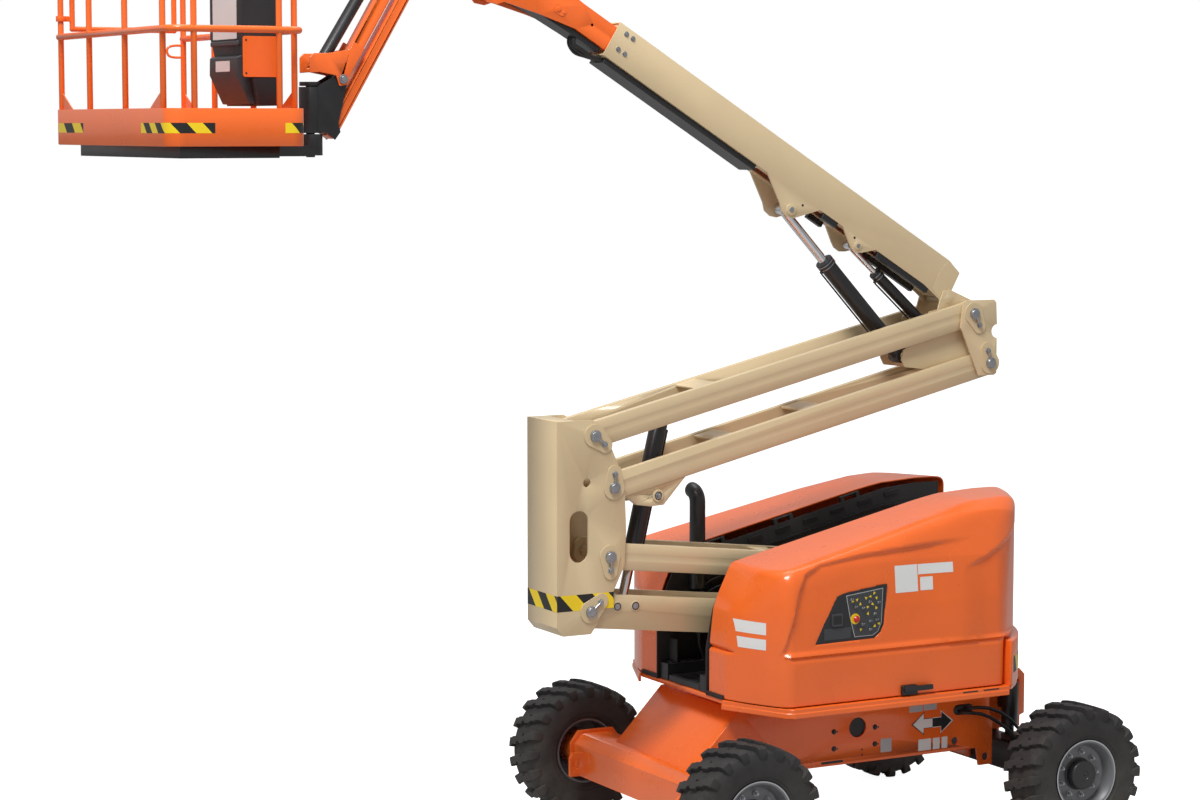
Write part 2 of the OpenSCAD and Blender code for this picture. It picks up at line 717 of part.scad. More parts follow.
master_v = boom_at(lug2) - master_base;
master_dir = atan2(master_v[1], master_v[0]);
master_len = norm(master_v);

module master_barrel() {
  color([0.1, 0.1, 0.11]) place() right_from(master_base, master_dir)
    barrel(34, 27, 18, 15, 440, 32, 40, 18);
}

module master_rod() {
  color([0.8, 0.81, 0.83]) place() right_from(master_base, master_dir)
    piston(18, 27, 220, master_len, 25, 32);
}

level_v = level_eye - level_base;
level_dir = atan2(level_v[1], level_v[0]);
level_len = norm(level_v);

module level_barrel() {
  color([0.1, 0.1, 0.11]) place() right_from(level_base, level_dir)
    barrel(30, 24, 15, 10, 312, 30, 34, 16);
}

module level_rod() {
  color([0.8, 0.81, 0.83]) place() right_from(level_base, level_dir) piston(15, 24, 122, level_len, 22, 22);
}

jib_v = jib_eye - horn;
jib_dir = atan2(jib_v[1], jib_v[0]);
jib_len = norm(jib_v);

module jib_barrel() {
  color([0.1, 0.1, 0.11]) place() right_from(horn, jib_dir)
    barrel(34, 28, 20, 10, 900, 34, 46, 17);
}

module jib_rod() {
  color([0.8, 0.81, 0.83]) place() right_from(horn, jib_dir) piston(20, 28, 460, jib_len, 26, 26);
}

// Main boom

module boom_base() {
  w = boom_w / 2;
  color([0.82, 0.73, 0.58]) place() left_from(boom_o, boom_a) difference() {
    union() {
      slab(-w, w) polygon([[0, 50], [4, 182], [112, boom_top], [boom_l, boom_top], [boom_l, boom_low],
        [60, boom_low], [40, -30]]);
      both() slab(w - 14, w) polygon([[-40, 0], [-36, 36], [0, 60], [200, 60], [200, boom_low],
        [60, -30], [30, -52], [-10, -52]]);
      both() slab(w - 14, w) polygon([[1530, boom_low + 5], [1350, -120], [1315, -155], [1265, -163],
        [1222, -148], [1080, boom_low + 5]]);
      both() slab(w - 14, w) polygon([[900, boom_low + 5], [805, -72], [770, -92], [725, -94],
        [692, -75], [610, boom_low + 5]]);
      both() pin(lug1, 34, w - 14, w + 8);
      both() pin(lug2, 26, w - 14, w + 6);
    }
    slab(-w + 7, w - 7) polygon([[60, boom_low + 7], [boom_l + 10, boom_low + 7],
      [boom_l + 10, boom_top - 7], [120, boom_top - 7], [16, 170], [16, 60], [60, 60]]);
    slab(-w + 15, w - 15) polygon([[-60, -80], [-60, 45], [56, 45], [56, -80]]);
    slab(-52, 52) polygon([[960, -60], [960, 20], [1570, 20], [1570, -60]]);
    slab(-44, 44) polygon([[505, -60], [505, 20], [930, 20], [930, -60]]);
    pin([0, 0], 28 + gap, -120, 120);
  }
  color([0.82, 0.73, 0.58]) place() left_from(boom_o, boom_a) {
    block([boom_l - 110, -70, boom_low + 6], [boom_l - 10, 70, 24 - gap]);
    block([boom_l - 110, -70, 174 + gap], [boom_l - 10, 70, boom_top - 6]);
    both() block([boom_l - 110, fly_w / 2 + gap, 50], [boom_l - 10, w - 6, 150]);
  }
}

module boom_fly() {
  w = fly_w / 2;
  color([0.93, 0.42, 0.2]) place() left_from(boom_o, boom_a) difference() {
    union() {
      difference() {
        slab(-w, w) polygon([[420, 24], [420, 174], [3100, 174], [3100, 24]]);
        slab(-w + 7, w - 7) polygon([[400, 31], [400, 167], [3120, 167], [3120, 31]]);
      }
      both() slab(w - 14, w) polygon([[3040, 24], [3060, 174], [3560, 196], [3640, 150], [3660, -78],
        [3640, -130], [3588, -148], [3530, -125], [3499, -89], [3277, -28]]);
      slab(-w + 5, w - 5) polygon([[3060, 162], [3060, 174], [3330, 185], [3330, 173]]);
      both() block([430, 58, boom_low + 7 + gap], [510, 78, 25]);
      both() block([430, 58, 173], [510, 78, boom_top - 7 - gap]);
      both() block([430, w - 1, 60], [510, boom_w / 2 - 7 - gap, 140]);
      pin(toe, 26, -w, w);
      pin(fly_pin, 16, -w - 8, w + 8);
    }
    both() pin([2960, 100], 9, w - 20, w + 5);
  }
}

// Jib and platform carrier

module jib_base() {
  color([0.93, 0.42, 0.2]) place() difference() {
    union() {
      both() slab(52, 66) polygon([[toe_p[0] + 50, toe_p[1] - 25], [toe_p[0] + 60, toe_p[1] + 30],
        [level_eye[0] + 40, level_eye[1] + 10], [level_eye[0] + 15, level_eye[1] + 40],
        [j2[0] + 70, j2[1] + 40], [jib_eye[0] + 35, jib_eye[1] + 20], [jib_eye[0], jib_eye[1] + 42],
        [jib_eye[0] - 40, jib_eye[1] + 20], [j2[0] - 55, j2[1]], [j1[0] - 50, j1[1] + 20],
        [j1[0] - 45, j1[1] - 30], [j1[0], j1[1] - 55], [toe_p[0] - 60, toe_p[1] - 40],
        [toe_p[0], toe_p[1] - 55]]);
      pin(j1, 22, -72, 72);
      pin(j2, 22, -72, 72);
      both() pin(jib_eye, 22, 60, 72);
      both() pin(level_eye, 18, 60, 71);
      slab(-54, 54) polygon([[j2[0] + 58, j2[1] - 60], [j2[0] + 72, j2[1] - 60],
        [level_eye[0] - 60, level_eye[1] + 110], [level_eye[0] - 74, level_eye[1] + 110]]);
    }
    pin(toe_p, 26 + gap, -100, 100);
  }
}

module jib_bar(w, depth, trim) {
  h = depth / 2;
  difference() {
    slab(-w, w) polygon([[-h, -h + 14], [-h + 14, -h], [jib_l + trim - 14, -h],
      [jib_l + trim, -h + 14], [jib_l + trim, h - 14], [jib_l + trim - 14, h], [-h + 14, h],
      [-h, h - 14]]);
    slab(-w + 6, w - 6) polygon([[60, -h + 6], [jib_l - 90, -h + 6], [jib_l - 90, h - 6], [60, h - 6]]);
    pin([0, 0], 22 + gap, -100, 100);
    pin([jib_l, 0], 22 + gap, -100, 100);
  }
}

module jib_lower_bar() {
  color([0.93, 0.42, 0.2]) place() left_from(j1, jib_a) jib_bar(46, 66, 32);
}

module jib_upper_bar() {
  color([0.93, 0.42, 0.2]) place() {
    difference() {
      left_from(j2, jib_a) jib_bar(46, 70, -150);
      pin(horn, 70, -50, 50);
    }
    both() difference() {
      slab(64, 76) polygon([[k2[0] - 20, k2[1] - 38], [k2[0] + 25, k2[1] - 30], [k2[0] + 42, k2[1] + 20],
        [k2[0] + 130, k2[1] + 165], [k2[0] + 66, k2[1] + 205], [k2[0] + 40, k2[1] + 160],
        [horn[0] + 20, horn[1] + 62], [horn[0] - 60, horn[1] + 62], [horn[0] - 85, horn[1] + 40],
        [horn[0] - 85, horn[1] - 45], [horn[0] - 30, horn[1] - 40], [k2[0] - 40, k2[1] + 20]]);
      pin(k2, 22 + gap, 50, 90);
    }
    both() slab(40, 70) polygon([[k2[0] + 104, k2[1] + 140], [k2[0] + 120, k2[1] + 163],
      [k2[0] + 78, k2[1] + 186], [k2[0] + 62, k2[1] + 162]]);
    pin(horn, 17, -70, 70);
  }
}

module platform_knuckle() {
  color([0.1, 0.1, 0.11]) place() {
    difference() {
      union() {
        both() slab(52, 60) polygon([[rotate_x + 20, skirt_z + 70], [rotate_x + 76, skirt_z + 60],
          [k1[0] + 10, k1[1] - 42], [k1[0] + 42, k1[1]], [k1[0] + 30, k1[1] + 50],
          [k2[0] + 36, k2[1]], [k2[0] + 10, k2[1] + 36],
          [k2[0] - 30, k2[1] + 25], [rotate_x + 20, k2[1] - 40]]);
        translate([rotate_x, 0, skirt_z + 62]) cylinder(r = 62, h = 250);
        block([rotate_x, -54, skirt_z + 70], [rotate_x + 70, 54, skirt_z + 290]);
      }
      translate([rotate_x, 0, skirt_z - 50]) cylinder(r = 24 + gap, h = 600);
    }
    pin(k1, 22, -58, 58);
    pin(k2, 22, -80, 80);
  }
}

module platform_support() {
  color([0.1, 0.1, 0.11]) place() {
    translate([rotate_x, 0, skirt_z - 70]) cylinder(r = 24, h = 400);
    translate([rotate_x, 0, skirt_z - 60]) cylinder(r = 66, h = 116);
    translate([rotate_x, 0, skirt_z + 318]) cylinder(r = 58, h = 22);
    block([plat_x0 + 330, -60, skirt_z - 64], [rotate_x, 60, skirt_z - 3]);
    for (x = [plat_x0 + 110, plat_x1 - 170])
      block([x, -plat_y + 130, skirt_z - 64], [x + 60, plat_y - 130, skirt_z - 3]);
    both() block([plat_x0 + 110, plat_y - 190, skirt_z - 64], [plat_x1 - 110, plat_y - 130, skirt_z - 3]);
  }
}

// A plan outline of the platform with rounded corners, drawn in by t
module plat_plan(t) {
  r = corner - t;
  translate([plat_x0 + corner, -plat_y + corner]) circle(r = r);
  translate([plat_x1 - corner, -plat_y + corner]) circle(r = r);
  translate([plat_x0 + corner, plat_y - corner]) circle(r = r);
  translate([plat_x1 - corner, plat_y - corner]) circle(r = r);
  translate([plat_x0 + t, -plat_y + corner]) square([platform_d - 2 * t, platform_l - 2 * corner]);
  translate([plat_x0 + corner, -plat_y + t]) square([platform_d - 2 * corner, platform_l - 2 * t]);
}

module platform_floor() {
  color([0.93, 0.42, 0.2]) place() {
    translate([0, 0, skirt_z]) difference() {
      linear_extrude(190) plat_plan(0);
      translate([0, 0, -10]) linear_extrude(220) plat_plan(6);
    }
    translate([0, 0, skirt_z - 3]) linear_extrude(deck_z - skirt_z + 3) plat_plan(4);
  }
}

// One rail round three sides, open towards the gate
module rail_loop(z) {
  a = rail_r + 2;
  for (s = [0, 1])
    translate([s == 0 ? plat_x0 + a : plat_x1 - a, plat_y - 60, z]) rotate([90, 0, 0])
      cylinder(r = rail_r, h = platform_l - 60 - corner);
  translate([plat_x0 + corner, -plat_y + a, z]) rotate([0, 90, 0])
    cylinder(r = rail_r, h = platform_d - 2 * corner);
  translate([plat_x0 + corner, -plat_y + corner, z]) rotate([0, 0, 180])
    rotate_extrude(angle = 90) translate([corner - a, 0]) circle(r = rail_r);
  translate([plat_x1 - corner, -plat_y + corner, z]) rotate([0, 0, 270])
    rotate_extrude(angle = 90) translate([corner - a, 0]) circle(r = rail_r);
}

module platform_rails() {
  a = rail_r + 2;
  color([0.93, 0.42, 0.2]) place() {
    rail_loop(top_z);
    rail_loop(mid_z);
    for (y = [-plat_y + 130, -plat_y + 700, plat_y - 560, gate_y])
      for (x = [plat_x0 + a + 4, plat_x1 - a - 4])
        translate([x, y, deck_z]) cylinder(r = rail_r - 2, h = top_z - deck_z);
    for (x = [plat_x0 + 150, plat_x1 - 150])
      translate([x, -plat_y + a + 4, deck_z]) cylinder(r = rail_r - 2, h = top_z - deck_z);
  }
}

// Tall control box inside the rail, narrower at its foot
module platform_console() {
  back = plat_x1 - rail_tube - 4 - gap;
  front = plat_x1 - 250;
  color([0.1, 0.1, 0.11]) place() {
    slab(-645, -175) polygon([[back, skirt_z + 205], [back, top_z + 60], [back - 60, top_z + 60],
      [front, top_z - 50], [front, mid_z - 30], [front + 90, skirt_z + 205]]);
  }
}

// Swing gate, hung on the corner post by two eyes
module platform_gate() {
  r = rail_r - 3;
  a = rail_r + 6;
  gx0 = plat_x0 + a + 66;
  gx1 = plat_x1 - a - 54;
  gy = gate_y;
  z0 = mid_z + 45;
  z1 = top_z - 45;
  color([0.93, 0.42, 0.2]) place() {
    for (z = [z0, z1])
      rod([gx0, gy, z], [gx1, gy, z], r);
    for (x = [gx0, gx1]) {
      rod([x, gy, z0], [x, gy, z1], r);
      for (z = [z0, z1])
        translate([x, gy, z]) sphere(r = r + 1);
    }
    for (z = [z0 + 40, z1 - 70]) difference() {
      union() {
        translate([plat_x0 + a, gy, z]) cylinder(r = rail_r + 8, h = 30);
        block([plat_x0 + a, gy - 8, z], [gx0, gy + 8, z + 30]);
      }
      translate([plat_x0 + a, gy, z - 10]) cylinder(r = rail_r - 2 + gap, h = 50);
    }
    block([gx1, gy - 8, z1 - 140], [gx1 + 30, gy + 8, z1 - 90]);
  }
}

module tyre_fixed_near() { tyre(-1, -axle_x); }
module tyre_fixed_far() { tyre(1, -axle_x); }
module tyre_steer_near() { tyre(-1, axle_x); }
module tyre_steer_far() { tyre(1, axle_x); }
module rim_fixed_near() { rim(-1, -axle_x); }
module rim_fixed_far() { rim(1, -axle_x); }
module rim_steer_near() { rim(-1, axle_x); }
module rim_steer_far() { rim(1, axle_x); }

chassis_frame();
fixed_axle();
steer_axle();
lockout_cylinders();
slew_ring();
axle_hoses();
knuckle_near();
knuckle_far();
tie_rod();
tyre_fixed_near();
rim_fixed_near();
tyre_fixed_far();
rim_fixed_far();
tyre_steer_near();
rim_steer_near();
tyre_steer_far();
rim_steer_far();
turntable_base();
counterweight();
compartment_walls();
engine();
ground_controls();
hood_near();
hood_far();
lower_arm_lower();
lower_arm_upper();
lower_upright();
upper_arm_lower();
upper_arm_upper();
tower_barrel();
tower_rod();
upper_upright();
boom_base();
boom_fly();
lift_barrel();
lift_rod();
master_barrel();
master_rod();
jib_base();
level_barrel();
level_rod();
jib_lower_bar();
jib_upper_bar();
jib_barrel();
jib_rod();
platform_knuckle();
platform_support();
platform_floor();
platform_rails();
platform_console();
platform_gate();
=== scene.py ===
"""Looks of an articulating boom lift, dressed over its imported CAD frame.

Metres, +Z up. The platform end is -X and the side towards the camera is -Y.
"""

import json
import math

import bmesh
import bpy
import numpy as np
from mathutils import Matrix, Vector


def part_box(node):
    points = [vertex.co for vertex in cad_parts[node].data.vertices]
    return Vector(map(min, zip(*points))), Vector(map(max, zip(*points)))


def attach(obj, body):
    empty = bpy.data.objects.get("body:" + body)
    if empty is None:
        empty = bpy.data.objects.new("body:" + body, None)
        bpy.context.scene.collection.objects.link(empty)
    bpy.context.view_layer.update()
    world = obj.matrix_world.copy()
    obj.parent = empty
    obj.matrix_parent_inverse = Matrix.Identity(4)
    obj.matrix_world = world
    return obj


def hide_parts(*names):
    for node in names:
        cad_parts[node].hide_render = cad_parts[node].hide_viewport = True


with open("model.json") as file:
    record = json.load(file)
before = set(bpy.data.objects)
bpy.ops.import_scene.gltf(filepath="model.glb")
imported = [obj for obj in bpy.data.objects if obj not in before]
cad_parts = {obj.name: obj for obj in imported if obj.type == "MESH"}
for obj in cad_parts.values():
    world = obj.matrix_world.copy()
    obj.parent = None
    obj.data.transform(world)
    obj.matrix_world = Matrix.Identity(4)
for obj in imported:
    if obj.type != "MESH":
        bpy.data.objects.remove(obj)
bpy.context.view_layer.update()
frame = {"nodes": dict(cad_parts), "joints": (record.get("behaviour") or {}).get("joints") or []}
nodes = frame["nodes"]
joints = {j["name"]: j for j in frame["joints"]}

# Places that the frame gives
SWING_X = joints["swing"]["pos_m"][0]
WHEEL_R = joints["wheel_fixed_near"]["pos_m"][2]
NEAR, FAR = -1, 1
SIDES = {"near": NEAR, "far": FAR}
X_AXIS, Y_AXIS, Z_AXIS = Vector((1, 0, 0)), Vector((0, 1, 0)), Vector((0, 0, 1))

# How far a thin film and a painted stripe stand off their face
FILM, PAINT = 0.0008, 0.0006


def at(x, y, z):
    """Point measured from the swing centre on the ground."""
    return Vector((SWING_X + x, y, z))


def pin_of(name):
    return Vector(joints[name]["pos_m"])


def on_side(point, side, y):
    """The point moved out to y on one side of the machine."""
    return Vector((point.x, side * y, point.z))


def spoke(a):
    """Way at the angle a in the x-z plane."""
    return Vector((math.cos(a), 0, math.sin(a)))


def heading(a):
    """Way at the angle a in the plan."""
    return Vector((math.cos(a), math.sin(a), 0))


BOOM_PIN = pin_of("boom_lift")
BOOM_ALONG = Vector(joints["telescope"]["axis"]).normalized()
BOOM_UP = Vector((BOOM_ALONG.z, 0, -BOOM_ALONG.x))


def boom(u, y, v):
    """Point u along the boom from its foot pin and v over it."""
    return BOOM_PIN + BOOM_ALONG * u + BOOM_UP * v + Y_AXIS * y


# Camera of the photograph


def make_camera():
    data = bpy.data.cameras.new("camera")
    data.sensor_width = 36
    data.lens = 86.9
    data.clip_end = 200
    obj = bpy.data.objects.new("camera", data)
    obj.location = at(-9.53, -14.72, 4.28)
    obj.rotation_euler = (math.radians(84.6), 0, math.radians(-28.51))
    bpy.context.scene.collection.objects.link(obj)
    bpy.context.scene.camera = obj


# Materials

DUST_TOP = 0.9
DUST_COLOUR = (0.32, 0.28, 0.23, 1)


def link(tree, a, a_out, b, b_in):
    tree.links.new(a.outputs[a_out], b.inputs[b_in])


def node(tree, kind, **values):
    """New shader node with its inputs set; an underscore stands for the space in an input's name."""
    made = tree.nodes.new("ShaderNode" + kind)
    for name, value in values.items():
        made.inputs[name.replace("_", " ")].default_value = value
    return made


def noise(tree, coords, scale, detail):
    """Noise in the object's own place."""
    made = node(tree, "TexNoise", Scale=scale, Detail=detail)
    link(tree, coords, "Object", made, "Vector")
    return made


def material(name, colour, rough, metal=0.0, vary=0.05, cloud=3.0, grain=0.0, grain_scale=400.0,
             coat=0.0, rough_vary=0.06, dust=0.0):
    """Painted or moulded surface: clouded colour, uneven gloss, fine grain and dust low on the machine."""
    mat = bpy.data.materials.new(name)
    mat.use_nodes = True
    tree = mat.node_tree
    shader = tree.nodes["Principled BSDF"]
    shader.inputs["Metallic"].default_value = metal
    shader.inputs["Coat Weight"].default_value = coat
    shader.inputs["Coat Roughness"].default_value = 0.12
    coords = node(tree, "TexCoord")
    clouds = noise(tree, coords, cloud, 6)
    tint = node(tree, "ValToRGB")
    for stop, position, change in zip(tint.color_ramp.elements, (0.3, 0.7), (-vary, vary)):
        stop.position = position
        stop.color = (*[min(1, c * (1 + change)) for c in colour], 1)
    link(tree, clouds, "Fac", tint, "Fac")
    gloss = node(tree, "MapRange", To_Min=max(0.03, rough - rough_vary), To_Max=min(1, rough + rough_vary))
    link(tree, clouds, "Fac", gloss, "Value")
    link(tree, gloss, "Result", shader, "Roughness")
    top, top_out = add_dust(tree, coords, tint, dust) if dust else (tint, "Color")
    link(tree, top, top_out, shader, "Base Color")
    if grain:
        fine = noise(tree, coords, grain_scale, 3)
        bump = node(tree, "Bump", Strength=grain, Distance=0.002)
        link(tree, fine, "Fac", bump, "Height")
        link(tree, bump, "Normal", shader, "Normal")
    return mat


def add_dust(tree, coords, tint, amount):
    """Pale dust that thins out with height."""
    split = node(tree, "SeparateXYZ")
    link(tree, coords, "Object", split, "Vector")
    height = node(tree, "MapRange", From_Min=0.0, From_Max=DUST_TOP, To_Min=amount, To_Max=0.0)
    link(tree, split, "Z", height, "Value")
    patches = noise(tree, coords, 9, 8)
    amount_here = node(tree, "Math")
    amount_here.operation = "MULTIPLY"
    link(tree, height, "Result", amount_here, 0)
    link(tree, patches, "Fac", amount_here, 1)
    mix = node(tree, "Mix")
    mix.data_type = "RGBA"
    link(tree, amount_here, "Value", mix, "Factor")
    # Sockets 6 and 7 are the two colours, and output 2 is their mix
    link(tree, tint, "Color", mix, 6)
    mix.inputs[7].default_value = DUST_COLOUR
    return mix, 2


ORANGE = material("orange_enamel", (0.88, 0.145, 0.016), 0.28, vary=0.04, grain=0.03, coat=0.35, dust=0.05)
TAN = material("tan_enamel", (0.63, 0.49, 0.295), 0.36, vary=0.035, grain=0.03, coat=0.2)
BLACK = material("black_enamel", (0.014, 0.014, 0.016), 0.42, vary=0.25, grain=0.05, coat=0.1, dust=0.1)
DARK = material("dark_inside", (0.018, 0.017, 0.017), 0.6, vary=0.3, grain=0.1)
STEEL = material("zinc_steel", (0.42, 0.43, 0.45), 0.38, metal=1.0, vary=0.12, cloud=40, grain=0.05)
CHROME = material("chromed_rod", (0.72, 0.73, 0.75), 0.14, metal=1.0, vary=0.04, cloud=25, rough_vary=0.04)
RUBBER = material("tyre_rubber", (0.017, 0.017, 0.018), 0.78, vary=0.3, cloud=14, grain=0.25, grain_scale=160,
                  dust=0.35)
RIM = material("rim_grey", (0.19, 0.195, 0.205), 0.42, metal=0.35, vary=0.1, grain=0.05, dust=0.15)
BRIGHT = material("bead_silver", (0.6, 0.61, 0.63), 0.3, metal=0.9, vary=0.08)
HOSE = material("hose_rubber", (0.012, 0.012, 0.013), 0.5, vary=0.2, grain=0.2, grain_scale=900)
PLASTIC = material("black_plastic", (0.017, 0.018, 0.02), 0.5, vary=0.15, grain=0.3, grain_scale=700)
GREY = material("grey_plastic", (0.045, 0.047, 0.052), 0.5, vary=0.1, grain=0.3, grain_scale=700)
YELLOW = material("hazard_yellow", (0.88, 0.63, 0.01), 0.4, vary=0.04)
STRIPE = material("hazard_black", (0.012, 0.012, 0.012), 0.45, vary=0.1)
RED = material("signal_red", (0.55, 0.012, 0.012), 0.3, vary=0.05, coat=0.4)
WHITE = material("white_film", (0.74, 0.74, 0.73), 0.45, vary=0.03)
GREY_FILM = material("grey_film", (0.42, 0.42, 0.43), 0.45, vary=0.05)


# Mesh kit


class Piece:
    """One mesh built up from simple forms and then placed on a body."""

    def __init__(self):
        self.bm = bmesh.new()

    def box(self, low, high, turn=None):
        made = bmesh.ops.create_cube(self.bm, size=1.0)["verts"]
        low, high = Vector(low), Vector(high)
        fit = Matrix.Translation((low + high) / 2) @ Matrix.Diagonal((*(high - low), 1))
        bmesh.ops.transform(self.bm, matrix=(turn or Matrix()) @ fit, verts=made)
        return self

    def bar(self, a, b, r, end_r=None, sides=24):
        a, b = Vector(a), Vector(b)
        made = bmesh.ops.create_cone(self.bm, cap_ends=True, segments=sides, radius1=r,
                                     radius2=r if end_r is None else end_r, depth=(b - a).length)["verts"]
        turn = (b - a).to_track_quat("Z", "Y").to_matrix().to_4x4()
        bmesh.ops.transform(self.bm, matrix=Matrix.Translation((a + b) / 2) @ turn, verts=made)
        return self

    def stud(self, foot, out, start, end, r, end_r=None, sides=24):
        """Bar along out over foot, from start to end."""
        return self.bar(foot + out * start, foot + out * end, r, end_r, sides)

    def loft(self, rings, closed=False, caps=True):
        """Skin over rings of equal length; closed joins the last ring to the first."""
        rows = [[self.bm.verts.new(p) for p in ring] for ring in rings]
        n = len(rows[0])
        last = len(rows) if closed else len(rows) - 1
        for i in range(last):
            a, b = rows[i], rows[(i + 1) % len(rows)]
            for k in range(n):
                self.bm.faces.new((a[k], a[(k + 1) % n], b[(k + 1) % n], b[k]))
        if caps and not closed:
            self.bm.faces.new(rows[0][::-1])
            self.bm.faces.new(rows[-1])
        return self

    def prism(self, outline, y0, y1):
        """Outline of (x, z) spread across the machine."""
        return self.loft([[(x, y, z) for x, z in outline] for y in (y0, y1)])

    def lathe(self, profile, centre, steps):
        """Closed profile of (radius, y) turned round the axis through centre across the machine."""
        turns = [spoke(math.tau * i / steps) for i in range(steps)]
        rings = [[centre + turn * r + Y_AXIS * y for r, y in profile] for turn in turns]
        return self.loft(rings, closed=True)

    def tube(self, path, r, sides=12):
        path = [Vector(p) for p in path]
        rings = []
        side = None
        for i, p in enumerate(path):
            along = (path[min(i + 1, len(path) - 1)] - path[max(i - 1, 0)]).normalized()
            if side is None:
                side = along.orthogonal().normalized()
            side = (side - along * side.dot(along)).normalized()
            other = along.cross(side)
            rings.append([p + side * (r * math.cos(math.tau * k / sides)) +
                          other * (r * math.sin(math.tau * k / sides)) for k in range(sides)])
        return self.loft(rings)

    def slab(self, outline, out, thick):
        """Flat outline raised by thick along out."""
        return self.loft([outline, [p + out * thick for p in outline]])

    def plate(self, centre, wide, high, r, out, thick, right=X_AXIS):
        """Upright plate with rounded corners, raised along out."""
        return self.slab(rounded_rect(centre, right, Z_AXIS, wide, high, r), out, thick)

    def place(self, name, body, mat, bevel=0.0, sharp=35.0, slot=None):
        bmesh.ops.recalc_face_normals(self.bm, faces=self.bm.faces)
        return place_mesh(self.bm, name, body, mat, bevel, sharp)


def place_mesh(bm, name, body, mat, bevel=0.0, sharp=35.0):
    """Make an object that rides on a body, in the material given."""
    mesh = bpy.data.meshes.new(name)
    bm.to_mesh(mesh)
    bm.free()
    mesh.polygons.foreach_set("use_smooth", [True] * len(mesh.polygons))
    mesh.set_sharp_from_angle(angle=math.radians(sharp))
    obj = bpy.data.objects.new(name, mesh)
    bpy.context.scene.collection.objects.link(obj)
    mesh.materials.append(mat)
    if bevel:
        round_edges(obj, bevel)
    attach(obj, body)
    return obj


def pieces(count):
    return [Piece() for _ in range(count)]


def round_edges(obj, width):
    mod = obj.modifiers.new("round_edges", "BEVEL")
    mod.width = width
    mod.segments = 2
    mod.limit_method = "ANGLE"
    mod.angle_limit = math.radians(32)
    mod.harden_normals = True


def spline(points, per_span=8):
    """Smooth path through points."""
    pts = [Vector(p) for p in points]
    pts = [pts[0] * 2 - pts[1]] + pts + [pts[-1] * 2 - pts[-2]]
    path = []
    for i in range(1, len(pts) - 2):
        a, b, c, d = pts[i - 1:i + 3]
        for k in range(per_span):
            t = k / per_span
            path.append(0.5 * (2 * b + (c - a) * t + (2 * a - 5 * b + 4 * c - d) * t ** 2 +
                               (3 * b - a - 3 * c + d) * t ** 3))
    path.append(pts[-2])
    return path


def rounded_rect(centre, right, up, wide, high, r, steps=4):
    """Outline of a rectangle with rounded corners in the plane of right and up."""
    points = []
    for sx, sy, start in ((1, 1, 0), (-1, 1, 90), (-1, -1, 180), (1, -1, 270)):
        for k in range(steps + 1):
            a = math.radians(start + 90 * k / steps)
            points.append(centre + right * (sx * (wide / 2 - r) + r * math.cos(a)) +
                          up * (sy * (high / 2 - r) + r * math.sin(a)))
    return points


def bolt(piece, foot, out, r, high=None):
    """Washer and six-sided head standing on foot."""
    piece.stud(foot, out, 0, r * 0.25, r * 1.5, sides=20)
    piece.stud(foot, out, r * 0.2, high or r * 0.9, r, sides=6)


# CAD nodes that stay


def dress(names, mat, bevel):
    for name in names:
        obj = nodes[name]
        obj.data.materials.clear()
        obj.data.materials.append(mat)
        obj.data.polygons.foreach_set("use_smooth", [True] * len(obj.data.polygons))
        weld = obj.modifiers.new("weld", "WELD")
        weld.merge_threshold = 0.00002
        if bevel:
            round_edges(obj, bevel)


def dress_frame():
    dress(["chassis_frame", "fixed_axle", "turntable_base", "boom_fly", "jib_base", "jib_lower_bar",
           "jib_upper_bar", "platform_floor", "counterweight"], ORANGE, 0.004)
    dress(["platform_rails", "platform_gate"], ORANGE, 0.002)
    dress(["lower_arm_lower", "lower_arm_upper", "upper_arm_lower", "upper_arm_upper", "lower_upright",
           "upper_upright", "boom_base"], TAN, 0.004)
    dress(["steer_axle", "lockout_cylinders", "slew_ring", "knuckle_near", "knuckle_far", "tower_barrel",
           "lift_barrel", "master_barrel", "level_barrel", "jib_barrel", "platform_knuckle",
           "platform_support", "engine"], BLACK, 0.003)
    dress(["compartment_walls"], DARK, 0.002)
    dress(["tie_rod", "tower_rod", "lift_rod", "master_rod", "level_rod", "jib_rod"], CHROME, 0.002)
    dress(["axle_hoses"], HOSE, 0)
    dress(["ground_controls", "platform_console"], PLASTIC, 0.004)


# Wheels

WHEELS = {"fixed_near": NEAR, "fixed_far": FAR, "steer_near": NEAR, "steer_far": FAR}
WHEEL_STEPS = 96
LUGS_A_SIDE = 20
CROWN_R = WHEEL_R - 0.027
LUG_FOOT_R = CROWN_R - 0.012
# Tyre body from the bead to the crown as (radius over the bead, y), then (radius over the crown, y)
SIDEWALL = [(-0.002, 0.118), (0.010, 0.128), (0.022, 0.138), (0.034, 0.1385), (0.038, 0.1435),
            (0.060, 0.1475), (0.090, 0.1495)]
TREAD = [(-0.060, 0.1485), (-0.030, 0.1425), (-0.012, 0.130), (-0.002, 0.105), (0.0, 0.05)]
# Across one lug from the crown to the sidewall: y, drop of its top, drop of its foot, start and end angle
LUG = [(-0.014, 0, 0, 0.0, 6.2), (0.042, 0, 0, 1.6, 8.0), (0.047, 0, 0, 3.4, 10.4),
       (0.098, 0.001, 0, 5.0, 11.8), (0.103, 0.001, 0, 6.0, 14.2), (0.132, 0.004, 0.012, 6.8, 15.0),
       (0.146, 0.014, 0.03, 7.2, 15.0), (0.1525, 0.034, 0.05, 7.6, 14.8),
       (0.1525, 0.062, 0.06, 8.4, 14.2), (0.1465, 0.078, 0.075, 9.2, 13.4)]
